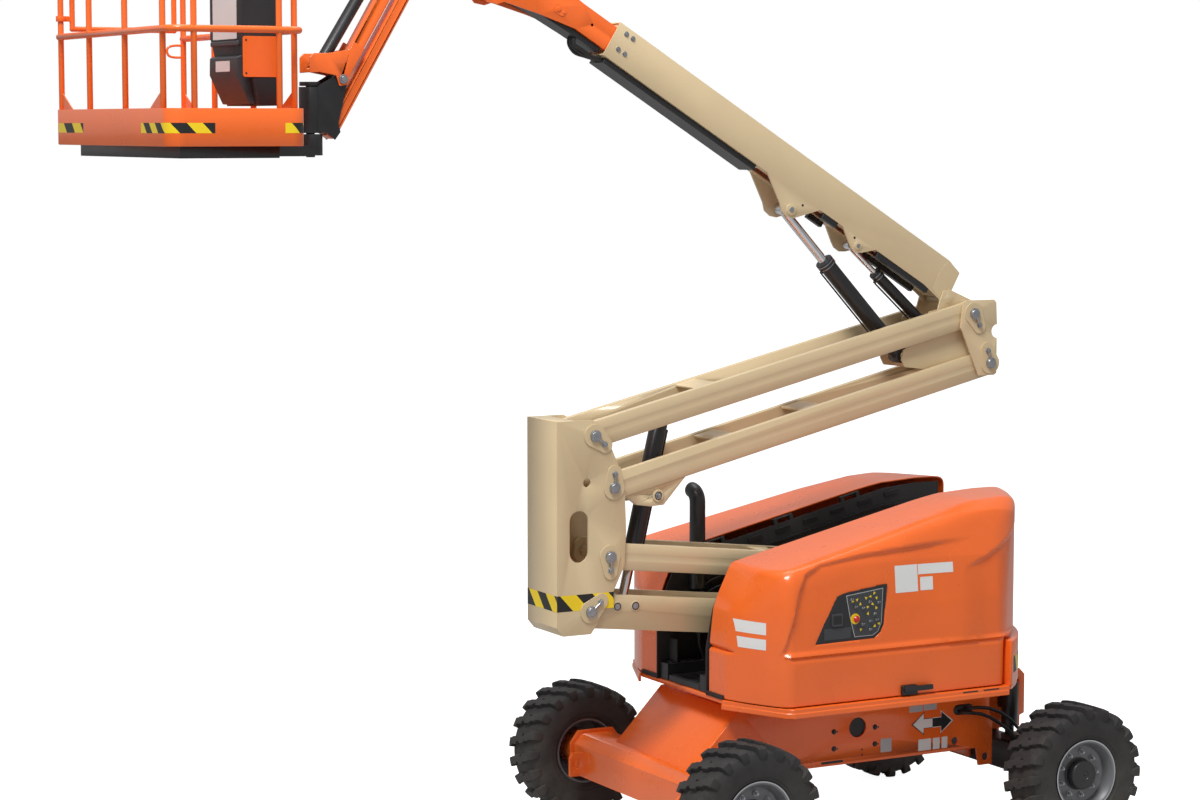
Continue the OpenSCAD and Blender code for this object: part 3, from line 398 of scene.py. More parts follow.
# Rim from its back to the dish as (radius over the bead, y), its middle as (radius, y), and its back again
RIM_OUTSIDE = [(-0.004, -0.118), (-0.004, 0.112), (0.004, 0.126), (0.009, 0.138), (0.004, 0.141),
               (-0.006, 0.136), (-0.013, 0.122), (-0.022, 0.104), (-0.027, 0.080), (-0.032, 0.066),
               (-0.046, 0.055), (-0.064, 0.052)]
RIM_MIDDLE = [(0.108, 0.056), (0.070, 0.056), (0.050, 0.048), (0.050, 0.036)]
RIM_BACK = [(-0.06, 0.036), (-0.022, 0.02), (-0.016, -0.118)]
BEAD_RING = [(0.0005, 0.1385), (0.006, 0.1425), (0.0115, 0.1405), (0.010, 0.136)]
HUB_CAP = [(0.004, 0.05), (0.098, 0.05), (0.098, 0.062), (0.090, 0.066), (0.0885, 0.108), (0.085, 0.118),
           (0.076, 0.1235), (0.030, 0.124), (0.028, 0.121), (0.004, 0.121)]
WHEEL_NUTS, NUT_CIRCLE = 9, 0.132


def bead_radius(wheel):
    """Radius of the rim's bead, under the flange of the CAD rim."""
    low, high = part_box("rim_" + wheel)
    return (high.z - low.z) / 2 - 0.014


def over(r0, profile):
    """Profile of (radius, y) moved out to start from the radius r0."""
    return [(r0 + r, y) for r, y in profile]


def lug(piece, centre, side, turn):
    """One stepped lug on the side given, started at the angle turn."""
    rings = []
    for y, top_drop, foot_drop, start, end in LUG:
        top, foot = WHEEL_R - top_drop, LUG_FOOT_R - foot_drop
        foot_y = y if y < 0.14 else y - 0.02
        corners = [(start + (end - start) * k / 3, top, y) for k in range(4)]
        corners = [(start - 0.7, foot, foot_y), *corners, (end + 0.7, foot, foot_y)]
        rings.append([centre + spoke(math.radians(turn + a * side)) * r + Y_AXIS * (side * cy)
                      for a, r, cy in corners])
    piece.loft(rings)


def make_tyre(wheel):
    tyre, body = "tyre_" + wheel, "wheel_" + wheel
    centre = pin_of(body)
    half = over(bead_radius(wheel), SIDEWALL) + over(CROWN_R, TREAD)
    piece = Piece()
    piece.lathe(half + [(r, -y) for r, y in reversed(half)], centre, WHEEL_STEPS)
    pitch = 360 / LUGS_A_SIDE
    for i in range(LUGS_A_SIDE):
        lug(piece, centre, 1, i * pitch)
        lug(piece, centre, -1, (i + 0.5) * pitch)
    obj = piece.place("looks_" + tyre, body, RUBBER, 0.0035, sharp=40)
    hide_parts(tyre)


def make_rim(wheel, side):
    """Dished steel rim with its bead ring, hub cap and wheel nuts."""
    name, body = "rim_" + wheel, "wheel_" + wheel
    centre = pin_of(body)
    bead = bead_radius(wheel)

    def turned(profile, steps):
        return Piece().lathe([(r, side * y) for r, y in profile], centre, steps)

    dish = over(bead, RIM_OUTSIDE) + RIM_MIDDLE + over(bead, RIM_BACK)
    obj = turned(dish, WHEEL_STEPS).place("looks_" + name, body, RIM, sharp=30)
    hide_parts(name)
    turned(over(bead, BEAD_RING), WHEEL_STEPS).place("bead_ring_" + wheel, body, BRIGHT)
    turned(HUB_CAP, 64).place("hub_cap_" + wheel, body, BLACK, sharp=40)
    nuts = Piece()
    out = Y_AXIS * side
    for i in range(WHEEL_NUTS):
        foot = centre + spoke(math.tau * i / WHEEL_NUTS) * NUT_CIRCLE + out * 0.05
        nuts.stud(foot, out, 0, 0.010, 0.017)
        nuts.stud(foot, out, 0.008, 0.026, 0.0125, sides=6)
        nuts.stud(foot, out, 0.020, 0.036, 0.0075, sides=16)
    nuts.place("wheel_nuts_" + wheel, body, STEEL, 0.0012)


def make_wheels():
    for wheel, side in WHEELS.items():
        make_tyre(wheel)
        make_rim(wheel, side)


# Moulded hoods, worked out as a smooth field and skinned


def polygon_distance(points, u, v):
    """Signed distance to a polygon, negative inside."""
    best = np.full(u.shape, 1e9)
    sign = np.ones(u.shape)
    for (ax, ay), (bx, by) in zip(points, points[1:] + points[:1]):
        ex, ey = bx - ax, by - ay
        wx, wy = u - ax, v - ay
        t = np.clip((wx * ex + wy * ey) / (ex * ex + ey * ey), 0, 1)
        best = np.minimum(best, (wx - ex * t) ** 2 + (wy - ey * t) ** 2)
        up, down = (v >= ay), (v < by)
        left = ex * wy > ey * wx
        flip = (up & down & left) | (~up & ~down & ~left)
        sign = np.where(flip, -sign, sign)
    return sign * np.sqrt(best)


def inset(points, r):
    """The same polygon, given anticlockwise, with every edge moved in by r."""
    lines = []
    for a, b in zip(points, points[1:] + points[:1]):
        along = (Vector(b) - Vector(a)).normalized()
        lines.append((Vector(a) + Vector((-along.y, along.x)) * r, along))
    corners = []
    for (p, d), (q, e) in zip(lines[-1:] + lines[:-1], lines):
        cross = d.x * e.y - d.y * e.x
        t = ((q - p).x * e.y - (q - p).y * e.x) / cross
        corners.append(tuple(p + d * t))
    return corners


def rounded(points, r, u, v):
    return polygon_distance(inset(points, r), u, v) - r


def smooth_max(a, b, k):
    h = np.clip(0.5 + 0.5 * (a - b) / k, 0, 1)
    return b * (1 - h) + a * h + k * h * (1 - h)


def ramp(x, low, high):
    t = np.clip((x - low) / (high - low), 0, 1)
    return t * t * (3 - 2 * t)


# Outlines of the hood on the +Y side, from the swing centre
BAND_PLAN = [(-1.0, 0.2), (0.74, 0.2), (0.74, 0.905), (0.69, 0.935), (-0.775, 0.935), (-0.81, 0.895),
             (-1.0, 0.5)]
FRONT_PLAN = [(-1.0, 0.2), (1.3, 0.2), (1.3, 0.935), (-0.775, 0.935), (-0.81, 0.895), (-1.0, 0.5)]
TAIL_CURVE = [(0.4, 0.965), (0.64, 0.935), (0.74, 0.89), (0.93, 0.70), (1.06, 0.49), (1.12, 0.37),
              (1.145, 0.31), (1.155, 0.2)]
HOOD_SIDE = [(-1.0, 0.8), (1.15, 0.8), (1.15, 2.088), (0.9, 2.088), (0.64, 2.064), (-0.83, 1.735),
             (-0.955, 1.48), (-1.0, 1.235)]
HOOD_CROSS = [(0.1, 0.8), (0.901, 0.8), (0.911, 1.225), (0.935, 1.25), (0.928, 1.5), (0.89, 1.76),
              (0.8, 2.01), (0.7, 2.1), (0.1, 2.1)]
SHOULDER = [(-0.823, 1.263), (0.9, 1.263), (0.9, 1.895), (0.27, 1.849), (-0.28, 1.81), (-0.56, 1.772),
            (-0.668, 1.725), (-0.721, 1.632)]
REAR_STEP = [(0.36, 1.263), (1.3, 1.263), (1.3, 2.05), (0.9, 1.89), (0.727, 1.809), (0.594, 1.748),
             (0.44, 1.69)]
WINDOW = [(-0.683, 1.327), (-0.253, 1.29), (-0.144, 1.308), (-0.099, 1.353), (-0.111, 1.661), (-0.13, 1.716),
          (-0.185, 1.715), (-0.49, 1.667), (-0.552, 1.634), (-0.627, 1.473)]
PANEL = [(-0.612, 1.312), (-0.2, 1.318), (-0.155, 1.352), (-0.133, 1.396), (-0.112, 1.632), (-0.41, 1.598),
         (-0.455, 1.582), (-0.551, 1.431)]
HOOD_LOW, HOOD_INNER = 0.968, 0.31
BELT = 1.24
WINDOW_RIM, WINDOW_FLOOR = 0.918, 0.886
SHOULDER_SINK, REAR_SINK = 0.028, 0.020
# Box that the field is worked out in, its grid, and the thickness of the moulding
HOOD_BOX = (-1.03, 0.27, 0.93), (1.19, 0.97, 2.12)
HOOD_STEP = 0.012
HOOD_SKIN = 0.008
# Round the control panel: reach of the faces that are trimmed, and margin of the opening
PANEL_REACH, PANEL_MARGIN = 0.012, 0.003


def tail_outline():
    """Wide polygon, anticlockwise, whose one side is the smooth curve round the tail."""
    curve = [(p.x, p.y) for p in spline([(x, y, 0) for x, y in TAIL_CURVE], 6)]
    return [(-2, 0), (1.16, 0)] + curve[::-1] + [(-2, 1.3)]


def hood_field(with_window):
    """Field of the hood on the +Y side, negative inside."""
    tail = tail_outline()

    def field(x, y, z):
        side_only = ramp(y, 0.60, 0.84)
        shoulder = ramp(-polygon_distance(SHOULDER, x, z), -0.010, 0.022)
        sunk = SHOULDER_SINK * shoulder * (1 - ramp(x, 0.1, 0.56))
        step = ramp(-polygon_distance(REAR_STEP, x, z), -0.006, 0.014) * ramp(x, 0.40, 0.60)
        out = y + (sunk + REAR_SINK * step) * side_only
        band = smooth_max(rounded(BAND_PLAN, 0.03, x, out), z - BELT - 0.02, 0.01)
        high = smooth_max(rounded(FRONT_PLAN, 0.03, x, out), polygon_distance(tail, x, out), 0.02)
        f = np.minimum(band, smooth_max(high, BELT - z, 0.01))
        f = smooth_max(f, rounded(HOOD_SIDE, 0.07, x, z), 0.10)
        f = smooth_max(f, rounded(HOOD_CROSS, 0.012, out, z), 0.09)
        if with_window:
            deep = np.clip((WINDOW_RIM - y) / (WINDOW_RIM - WINDOW_FLOOR), 0, 1)
            hole = polygon_distance(WINDOW, x, z) * (1 - deep) + polygon_distance(PANEL, x, z) * deep
            f = smooth_max(f, -smooth_max(hole, WINDOW_FLOOR - y, 0.006), 0.012)
        return f
    return field


def surface_net(field, low, high, step):
    """Points and quads on the surface where the field is zero."""
    axes = [np.arange(a, b + step, step) for a, b in zip(low, high)]
    inside = field(*np.meshgrid(*axes, indexing="ij")) < 0
    corners = [inside[i:inside.shape[0] - 1 + i, j:inside.shape[1] - 1 + j, k:inside.shape[2] - 1 + k]
               for i in (0, 1) for j in (0, 1) for k in (0, 1)]
    count = sum(c.astype(int) for c in corners)
    active = (count > 0) & (count < 8)
    index = np.full(active.shape, -1)
    index[active] = np.arange(active.sum())
    cells = np.argwhere(active)
    points = np.array(low) + (cells + 0.5) * step
    points = pull_to_surface(field, points, step)
    return points, np.concatenate([net_quads(inside, index, axis) for axis in range(3)])


def pull_to_surface(field, points, step):
    """Points moved down the field's slope, each within its own cell."""
    start = points.copy()
    nudge = step * 0.05
    for _ in range(8):
        value = field(*points.T)
        slope = np.stack([(field(*(points + nudge * e).T) - field(*(points - nudge * e).T)) / (2 * nudge)
                          for e in np.eye(3)], axis=1)
        move = slope * (value / np.maximum((slope ** 2).sum(1), 0.05))[:, None]
        points = points - move
        points = np.clip(points, start - 0.75 * step, start + 0.75 * step)
    return points


def net_quads(inside, index, axis):
    """Quads round the grid edges along one axis whose ends differ."""
    order = [axis, (axis + 1) % 3, (axis + 2) % 3]
    s = np.transpose(inside, order)
    n = np.transpose(index, order)
    change = s[:-1, 1:-1, 1:-1] != s[1:, 1:-1, 1:-1]
    i, j, k = np.nonzero(change)
    quad = np.stack([n[i, j, k], n[i, j + 1, k], n[i, j + 1, k + 1], n[i, j, k + 1]], axis=1)
    out = s[i, j + 1, k + 1]
    quad[~out] = quad[~out][:, ::-1]
    return quad


def make_hood(name, side):
    """Moulded hood: a thin skin, trimmed along its lower and inner edges."""
    points, quads = surface_net(hood_field(side == NEAR), *HOOD_BOX, HOOD_STEP)
    bm = bmesh.new()
    verts = [bm.verts.new(at(x, side * y, z)) for x, y, z in points]
    for q in quads:
        bm.faces.new([verts[i] for i in (q if side == FAR else q[::-1])])
    trim = [(at(0, side * HOOD_INNER, 0), (0, -side, 0)), (at(0, 0, HOOD_LOW), (0, 0, -1))]
    for point, normal in trim:
        bmesh.ops.bisect_plane(bm, geom=bm.verts[:] + bm.edges[:] + bm.faces[:], plane_co=point,
                               plane_no=normal, clear_outer=True, dist=1e-5)
    if side == NEAR:
        cut_window(bm)
    obj = place_mesh(bm, "looks_" + name, name, ORANGE, sharp=50)
    skin = obj.modifiers.new("skin", "SOLIDIFY")
    skin.thickness = HOOD_SKIN
    skin.offset = -1
    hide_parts(name)


def recess_floor(bm, reach):
    """Faces of the window recess's floor whose middles lie within reach of the control panel."""
    faces = [f for f in bm.faces if 0.8 < abs(f.calc_center_median().y) < WINDOW_FLOOR + 0.012]
    middles = np.array([f.calc_center_median() for f in faces], float)
    apart = polygon_distance(PANEL, middles[:, 0] - SWING_X, middles[:, 2])
    return [f for f, d in zip(faces, apart) if d < reach]


def cut_window(bm):
    """Trim the recess's floor along the control panel's outline and take its middle out."""
    for (ax, az), (bx, bz) in zip(PANEL, PANEL[1:] + PANEL[:1]):
        out = Vector((bz - az, 0, ax - bx)).normalized()
        faces = recess_floor(bm, PANEL_REACH)
        geom = set(faces) | {e for f in faces for e in f.edges} | {v for f in faces for v in f.verts}
        bmesh.ops.bisect_plane(bm, geom=list(geom), plane_co=at(ax, 0, az) - out * PANEL_MARGIN,
                               plane_no=out, dist=1e-5)
    bmesh.ops.delete(bm, geom=recess_floor(bm, -PANEL_MARGIN), context="FACES")


def hood_y(points, field):
    """Distance out to the hood's skin at each (x, z)."""
    xz = np.array(points, float)
    low, high = np.full(len(xz), 0.3), np.full(len(xz), 1.0)
    for _ in range(30):
        middle = (low + high) / 2
        inside = field(xz[:, 0], middle, xz[:, 1]) < 0
        low, high = np.where(inside, middle, low), np.where(inside, high, middle)
    return low


# Pins: raised boss, head and keeper bolt

BOSS = 0.008


def half_round(centre, r, start, steps):
    """Half circle of points in the x-z plane from the angle start."""
    return [centre + spoke(math.radians(start + 180 * k / steps)) * r for k in range(steps + 1)]


def pin_head(boss, steel, foot, out, r, keeper):
    """Boss plate with a round head and a keeper bar that points along keeper in the x-z plane."""
    arm = spoke(math.radians(keeper)) * r
    outline = half_round(foot, r * 2.0, keeper + 90, 32)
    outline += half_round(foot + arm * 2.6, r * 1.35, keeper - 90, 16)
    boss.slab(outline, out, BOSS)
    top = foot + out * BOSS
    steel.stud(top, out, 0, 0.016, r, sides=32)
    steel.stud(top, out, 0.014, 0.020, r * 0.82, r * 0.7, 32)
    screw = top + arm * 2.35
    steel.bar(top + out * 0.010 + arm * 0.6, screw + out * 0.010, r * 0.24, sides=16)
    steel.stud(screw, out, 0, 0.006, r * 0.52)
    steel.stud(screw, out, 0.004, 0.018, r * 0.42, sides=6)


def make_tower_pins():
    p1, p2, p4 = pin_of("upper_arm_upper"), pin_of("upper_arm_lower"), pin_of("lower_upright_level")
    p3 = pin_of("lower_arm_upper") + p4 - pin_of("tower_lift")
    pb = pin_of("upper_upright_level")
    pa = p1 + pb - p2
    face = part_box("lower_upright")[1].y - 0.005
    for body, pins in (("lower_upright", ((p1, -40), (p2, 88), (p3, -88), (p4, 40))),
                       ("upper_upright", ((pa, -62), (pb, 105)))):
        boss, steel = Piece(), Piece()
        for centre, keeper in pins:
            for side in (NEAR, FAR):
                pin_head(boss, steel, on_side(centre, side, face), Y_AXIS * side, 0.034, keeper)
        boss.place(body + "_bosses", body, TAN, 0.002)
        steel.place(body + "_pin_heads", body, STEEL, 0.0015)


# Hazard stripes: slanted bands a paint's thickness proud of the face


def stripe_band(name, body, path, z0, z1, first_black, width, slant):
    """Yellow and black bands along path: a function from length to (point, way out), and its length."""
    walk, length = path
    parts = {True: Piece(), False: Piece()}
    count = int(math.ceil((length + abs(slant)) / width)) + 1
    cells, rows = 12, 8
    for i in range(-1, count):
        bm = parts[(i % 2 == 0) == first_black].bm
        grid = []
        for row in range(rows + 1):
            shift = i * width + slant * row / rows
            z = z0 + (z1 - z0) * row / rows
            for k in range(cells + 1):
                p, out = walk(min(max(shift + width * k / cells, 0), length))
                grid.append(Vector((p.x, p.y, z)) + out * PAINT)
        for row in range(rows):
            for k in range(cells):
                n = row * (cells + 1) + k
                corners = [grid[n], grid[n + 1], grid[n + cells + 2], grid[n + cells + 1]]
                if (corners[0] - corners[1]).length + (corners[2] - corners[3]).length > 1e-5:
                    bm.faces.new([bm.verts.new(c) for c in corners])
    for black, piece in parts.items():
        bmesh.ops.remove_doubles(piece.bm, verts=piece.bm.verts, dist=1e-6)
        bmesh.ops.dissolve_degenerate(piece.bm, edges=piece.bm.edges, dist=1e-6)
        piece.place(name + ("_black" if black else "_yellow"), body, STRIPE if black else YELLOW)


SKIRT_CORNER = 0.09


def skirt_runs():
    """Straight lengths along Y and along X of the platform's outline, and the length round one corner."""
    low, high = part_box("platform_floor")
    return high.y - low.y - 2 * SKIRT_CORNER, high.x - low.x - 2 * SKIRT_CORNER, math.pi / 2 * SKIRT_CORNER


def skirt_walk(start, length):
    """Walk along the platform's rounded outline, anticlockwise from the far end of its -X side."""
    low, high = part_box("platform_floor")
    r = SKIRT_CORNER
    long_y, long_x, arc = skirt_runs()
    corners = [Vector((x, y, 0)) for x, y in ((low.x + r, low.y + r), (high.x - r, low.y + r),
                                              (high.x - r, high.y - r), (low.x + r, high.y - r))]

    def walk(s):
        s = (s + start) % (2 * (long_y + long_x) + 4 * arc)
        for k in range(4):
            turn = math.pi * (1 + k / 2)
            straight = long_x if k % 2 else long_y
            if s <= straight:
                return corners[k - 1] + heading(turn) * r + heading(turn + math.pi / 2) * s, heading(turn)
            s -= straight
            if s <= arc or k == 3:
                out = heading(turn + s / r)
                return corners[k] + out * r, out
            s -= arc
    return walk, length


def make_platform_stripes():
    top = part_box("platform_floor")[1].z
    long_y, long_x, arc = skirt_runs()
    bands = (("a", 0.0, 0.42, 0.14), ("b", long_y - 0.31, 0.31 + arc + 0.16, 0.085),
             ("c", long_y + arc + long_x - 0.04, 0.34, 0.085),
             ("d", 2 * (long_y + arc) + long_x - 0.32, 0.62, 0.085),
             ("e", 2 * (long_y + long_x) + 3 * arc - 0.2, 0.3, 0.085))
    for tag, start, length, width in bands:
        path = skirt_walk(start, length)
        stripe_band("platform_stripes_" + tag, "platform", path, top - 0.126, top - 0.074, False, width, -0.05)


def make_upright_stripes():
    low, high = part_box("lower_upright")
    x, y = low.x, high.y - 0.005
    side_long, front_long = 0.37, 2 * y
    hair = 1e-6

    def walk(s):
        if s <= side_long:
            return Vector((x + side_long - s, y, 0)), Y_AXIS
        if s <= side_long + front_long:
            return Vector((x, y - (s - side_long), 0)), -X_AXIS
        return Vector((x + s - side_long - front_long, -y, 0)), -Y_AXIS

    legs = (("far", 0.0, side_long), ("front", side_long, front_long),
            ("near", side_long + front_long, side_long))
    for tag, start, length in legs:
        path = (lambda s, begin=start: walk(begin + s + hair), length - 2 * hair)
        stripe_band("upright_stripes_" + tag, "lower_upright", path, 1.505, 1.598, True, 0.105, -0.085)


def make_tail_stripes():
    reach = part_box("counterweight")[1].x - SWING_X
    for tag, side in SIDES.items():
        def walk(s, side=side):
            out = heading(side * (0.60 + s / reach))
            return at(reach * out.x, reach * out.y, 0), out
        stripe_band("tail_stripes_" + tag, "turntable", (walk, 0.30), 1.03, 1.13, True, 0.10, 0.06)


# Stage: lights as name, place, aim, size in metres and power in watts

LIGHTS = (("key", (-5, -5, 14), (0, 0, 2.5), 5, 1700), ("top", (2, 3, 13), (0, 0, 2), 7, 400))
WHITE_LIGHT = (1, 1, 1, 1)


def seen_only(tree, target, socket, lit, seen):
    """Give a socket one value for light and another where the backdrop is looked at."""
    path = node(tree, "LightPath")
    level = node(tree, "MapRange", To_Min=lit, To_Max=seen)
    link(tree, path, "Is Camera Ray", level, "Value")
    link(tree, level, "Result", tree.nodes[target], socket)


def make_stage():
    bm = bmesh.new()
    bmesh.ops.create_grid(bm, x_segments=1, y_segments=1, size=60)
    mesh = bpy.data.meshes.new("floor")
    bm.to_mesh(mesh)
    bm.free()
    floor = bpy.data.objects.new("floor", mesh)
    bpy.context.scene.collection.objects.link(floor)
    cover = material("studio_floor", (0.5, 0.5, 0.5), 0.8, vary=0.003)
    cover.node_tree.nodes["Principled BSDF"].inputs["Emission Color"].default_value = WHITE_LIGHT
    seen_only(cover.node_tree, "Principled BSDF", "Emission Strength", 0.0, 0.95)
    mesh.materials.append(cover)
    world = bpy.data.worlds.new("studio")
    world.use_nodes = True
    world.node_tree.nodes["Background"].inputs["Color"].default_value = WHITE_LIGHT
    seen_only(world.node_tree, "Background", "Strength", 0.46, 1.0)
    bpy.context.scene.world = world
    bpy.context.scene.view_settings.view_transform = "Standard"
    for name, spot, aim, size, power in LIGHTS:
        light = bpy.data.lights.new(name, "AREA")
        light.shape = "DISK"
        light.size = size
        light.energy = power
        obj = bpy.data.objects.new(name, light)
        obj.location = spot
        obj.rotation_euler = (Vector(aim) - Vector(spot)).to_track_quat("-Z", "Y").to_euler()
        bpy.context.scene.collection.objects.link(obj)


# Small fittings of the turntable

# Bare plates on each hood as x0, x1, z0, z1
HOOD_PLATES = ((-0.05, 0.108, 1.572, 1.73), (0.113, 0.352, 1.669, 1.729), (0.125, 0.212, 1.575, 1.653),
               (-0.946, -0.87, 1.376, 1.446), (-0.946, -0.87, 1.288, 1.35))
PANEL_FACE = 0.88
PANEL_BORDER = [(-0.398, 1.585), (-0.142, 1.612), (-0.151, 1.41), (-0.176, 1.358), (-0.212, 1.338),
                (-0.338, 1.338), (-0.372, 1.46)]
MARKS = [(-0.352, 1.548), (-0.322, 1.556), (-0.30, 1.53), (-0.262, 1.562), (-0.232, 1.568), (-0.205, 1.585),
         (-0.188, 1.556), (-0.215, 1.522), (-0.248, 1.508), (-0.246, 1.47), (-0.19, 1.50), (-0.172, 1.405),
         (-0.20, 1.392), (-0.296, 1.378)]
SWITCHES = ((-0.335, 1.515), (-0.285, 1.505), (-0.24, 1.537), (-0.205, 1.465), (-0.178, 1.53), (-0.285, 1.41),
            (-0.235, 1.425), (-0.19, 1.43), (-0.235, 1.375), (-0.365, 1.56))


def hood_film(piece, side, field, corners, cols=10, rows=8):
    """Thin film on the hood over the quad of (x, z) corners."""
    a, b, c, d = (Vector((*q, 0)) for q in corners)
    xz = []
    for i in range(rows + 1):
        for k in range(cols + 1):
            q = a.lerp(b, k / cols).lerp(d.lerp(c, k / cols), i / rows)
            xz.append((q.x, q.y))
    y = hood_y(xz, field)
    grid = np.column_stack([np.array(xz)[:, 0], y, np.array(xz)[:, 1]])
    e = 0.002
    slope = np.stack([field(*(grid + e * u).T) - field(*(grid - e * u).T) for u in np.eye(3)], axis=1)
    grid = grid + slope / np.linalg.norm(slope, axis=1)[:, None] * FILM
    verts = [piece.bm.verts.new(at(q[0], side * q[1], q[2])) for q in grid]
    for i in range(rows):
        for k in range(cols):
            n = i * (cols + 1) + k
            piece.bm.faces.new((verts[n], verts[n + 1], verts[n + cols + 2], verts[n + cols + 1]))


def make_hood_fittings():
    """Bare white plates and the latch of each hood."""
    for tag, side in SIDES.items():
        name = "hood_" + tag
        field = hood_field(side == NEAR)
        out = Y_AXIS * side
        plates, latch = Piece(), Piece()
        for x0, x1, z0, z1 in HOOD_PLATES:
            hood_film(plates, side, field, ((x0, z0), (x1, z0), (x1, z1), (x0, z1)))
        plates.place(name + "_plates", name, WHITE)
        latch.plate(at(0.03, side * 0.885, 1.0), 0.105, 0.058, 0.01, out, 0.035)
        latch.plate(at(0.085, side * 0.915, 1.008), 0.20, 0.03, 0.008, out, 0.018)
        latch.stud(at(0.0, side * 0.915, 0.998), out, 0, 0.013, 0.009, sides=20)
        latch.place(name + "_latch", name, PLASTIC, 0.003)


def panel_spot(x, z, lift=0.0):
    return at(x, -PANEL_FACE - lift, z)


def make_control_panel():
    """Ground control panel behind the near hood's window: bordered plate, switches, stop button, display."""
    out = -Y_AXIS
    border, plate, screen, marks, toggles, ring, button = pieces(7)
    border.slab([panel_spot(x, z) for x, z in PANEL_BORDER], out, 0.0012)
    plate.slab([panel_spot(x, z, 0.0008) for x, z in inset(PANEL_BORDER[::-1], 0.004)], out, 0.0012)
    plate.plate(panel_spot(-0.462, 1.449), 0.074, 0.074, 0.008, out, 0.012)
    plate.plate(panel_spot(-0.455, 1.368), 0.185, 0.066, 0.004, out, 0.003)
    screen.plate(panel_spot(-0.462, 1.449, 0.012), 0.056, 0.05, 0.004, out, 0.0006)
    for i, (x, z) in enumerate(MARKS):
        tips = [spoke(math.radians(47 * i) + a) * 0.011 for a in (0, 2.3, 4.0)]
        marks.slab([panel_spot(x + tip.x, z + tip.z, 0.002) for tip in tips], out, 0.0005)
    for x, z in SWITCHES:
        foot = panel_spot(x, z, 0.002)
        toggles.stud(foot, out, 0, 0.005, 0.0085, sides=6)
        toggles.stud(foot, out, 0.004, 0.009, 0.006, sides=16)
        toggles.bar(foot + out * 0.008, foot + out * 0.024 + Z_AXIS * 0.006, 0.0028, 0.0038, sides=12)
    stop = panel_spot(-0.335, 1.445, 0.002)
    ring.stud(stop, out, 0, 0.003, 0.031, sides=40)
    button.stud(stop, out, 0.003, 0.012, 0.013)
    button.stud(stop, out, 0.011, 0.017, 0.017, 0.021, 32)
    button.stud(stop, out, 0.017, 0.025, 0.021, 0.015, 32)
    soft = 0.0006
    for piece, name, mat, bevel in (
            (border, "border", GREY_FILM, 0), (plate, "plate", GREY, soft), (screen, "screen", STRIPE, 0),
            (marks, "marks", YELLOW, 0), (toggles, "toggles", STEEL, soft), (ring, "stop_ring", YELLOW, 0),
            (button, "stop_button", RED, soft)):
        piece.place("control_" + name, "turntable", mat, bevel, slot="black_plastic")


def make_turntable_lip():
    """Pressed edge that runs round the turntable under the hoods."""
    lip, slits = Piece(), Piece()
    path = ((-0.985, 0.485), (-0.802, 0.892), (-0.768, 0.917), (0.735, 0.917))
    ways = ((-0.911, 0.41), (-0.78, 0.62), (-0.3, 0.954), (0.0, 1.0))
    profile = ((0.0, 0.906), (0.014, 0.906), (0.017, 0.91), (0.017, 0.934), (0.012, 0.94), (0.012, 0.96),
               (0.0, 0.963))
    for side in (NEAR, FAR):
        lip.loft([[at(x + wx * d, side * (y + wy * d), z) for d, z in profile]
                  for (x, y), (wx, wy) in zip(path, ways)])
        for x0, x1 in ((0.40, 0.505), (0.55, 0.66)):
            slits.box(at(x0, side * 0.9255 - 0.005, 0.948), at(x1, side * 0.9255 + 0.005, 0.955))
    lip.place("turntable_lip", "turntable", ORANGE, 0.002)
    slits.place("turntable_lip_slits", "turntable", STRIPE)


def make_bay_deck():
    """Black ribbed deck between the hoods."""
    deck = Piece()
    deck.box(at(-0.965, -0.18, 0.962), at(-0.62, 0.18, 0.998))
    for side in (NEAR, FAR):
        low, high = sorted((side * 0.19, side * 0.281))
        deck.box(at(-0.968, low, 0.962), at(-0.60, high, 1.062))
        for k in range(5):
            x = -0.94 + 0.07 * k
            deck.box(at(x, low + 0.008, 1.06), at(x + 0.035, high - 0.008, 1.068))
    for k in range(4):
        x = -0.955 + 0.085 * k
        deck.box(at(x, -0.165, 0.996), at(x + 0.04, 0.165, 1.003))
    deck.place("bay_deck", "turntable", BLACK, 0.005)


def make_bay_hoses():
    """Hoses that rise from the deck and end in the compartment's walls."""
    hoses = Piece()
    for side in (NEAR, FAR):
        for k in range(4):
            y, rise = 0.205 + 0.021 * k, 0.05 * k
            route = ((-0.70 + 0.03 * k, y, 1.05), (-0.74, y, 1.20 + rise), (-0.66, y, 1.36 + rise),
                     (-0.42, y, 1.42 + rise), (-0.1, y, 1.40 + rise), (0.1, y, 1.38 + rise),
                     (0.25, 0.293, 1.36 + rise))
            hoses.tube(spline([at(px, side * py, pz) for px, py, pz in route], 10), 0.0095)
    hoses.place("bay_hoses", "turntable", HOSE, sharp=60)


def make_bay_rails():
    """Black strips with clips along the tops of the compartment's inner walls."""
    strip = ((-0.55, 1.655), (0.62, 1.918), (1.02, 1.944), (1.02, 1.93), (0.62, 1.904), (-0.55, 1.641))
    clip = ((0, 0), (0.1, 0.022), (0.1, 0.052), (0, 0.03))
    rails = Piece()
    for side in (NEAR, FAR):
        rails.prism([(SWING_X + x, z) for x, z in strip], *sorted((side * 0.268, side * 0.287)))
        for k in range(6):
            x, z = SWING_X - 0.35 + 0.2 * k, 1.74 + 0.2 * k * 0.2238
            rails.prism([(x + dx, z + dz) for dx, dz in clip], *sorted((side * 0.276, side * 0.287)))
    rails.place("bay_rails", "turntable", BLACK, 0.002)


# Chassis side

CHASSIS_FACE = 0.46
HOLE_X = -0.03
# Plates as x0, x1, z0, z1
CHASSIS_PLATES = ((0.342, 0.442, 0.752, 0.806), (0.448, 0.543, 0.755, 0.828), (0.135, 0.214, 0.53, 0.612),
                  (0.80, 0.858, 0.80, 0.832))
CHASSIS_WHITE = ((0.41, 0.503, 0.51, 0.58), (0.517, 0.567, 0.51, 0.58), (0.581, 0.624, 0.51, 0.58))
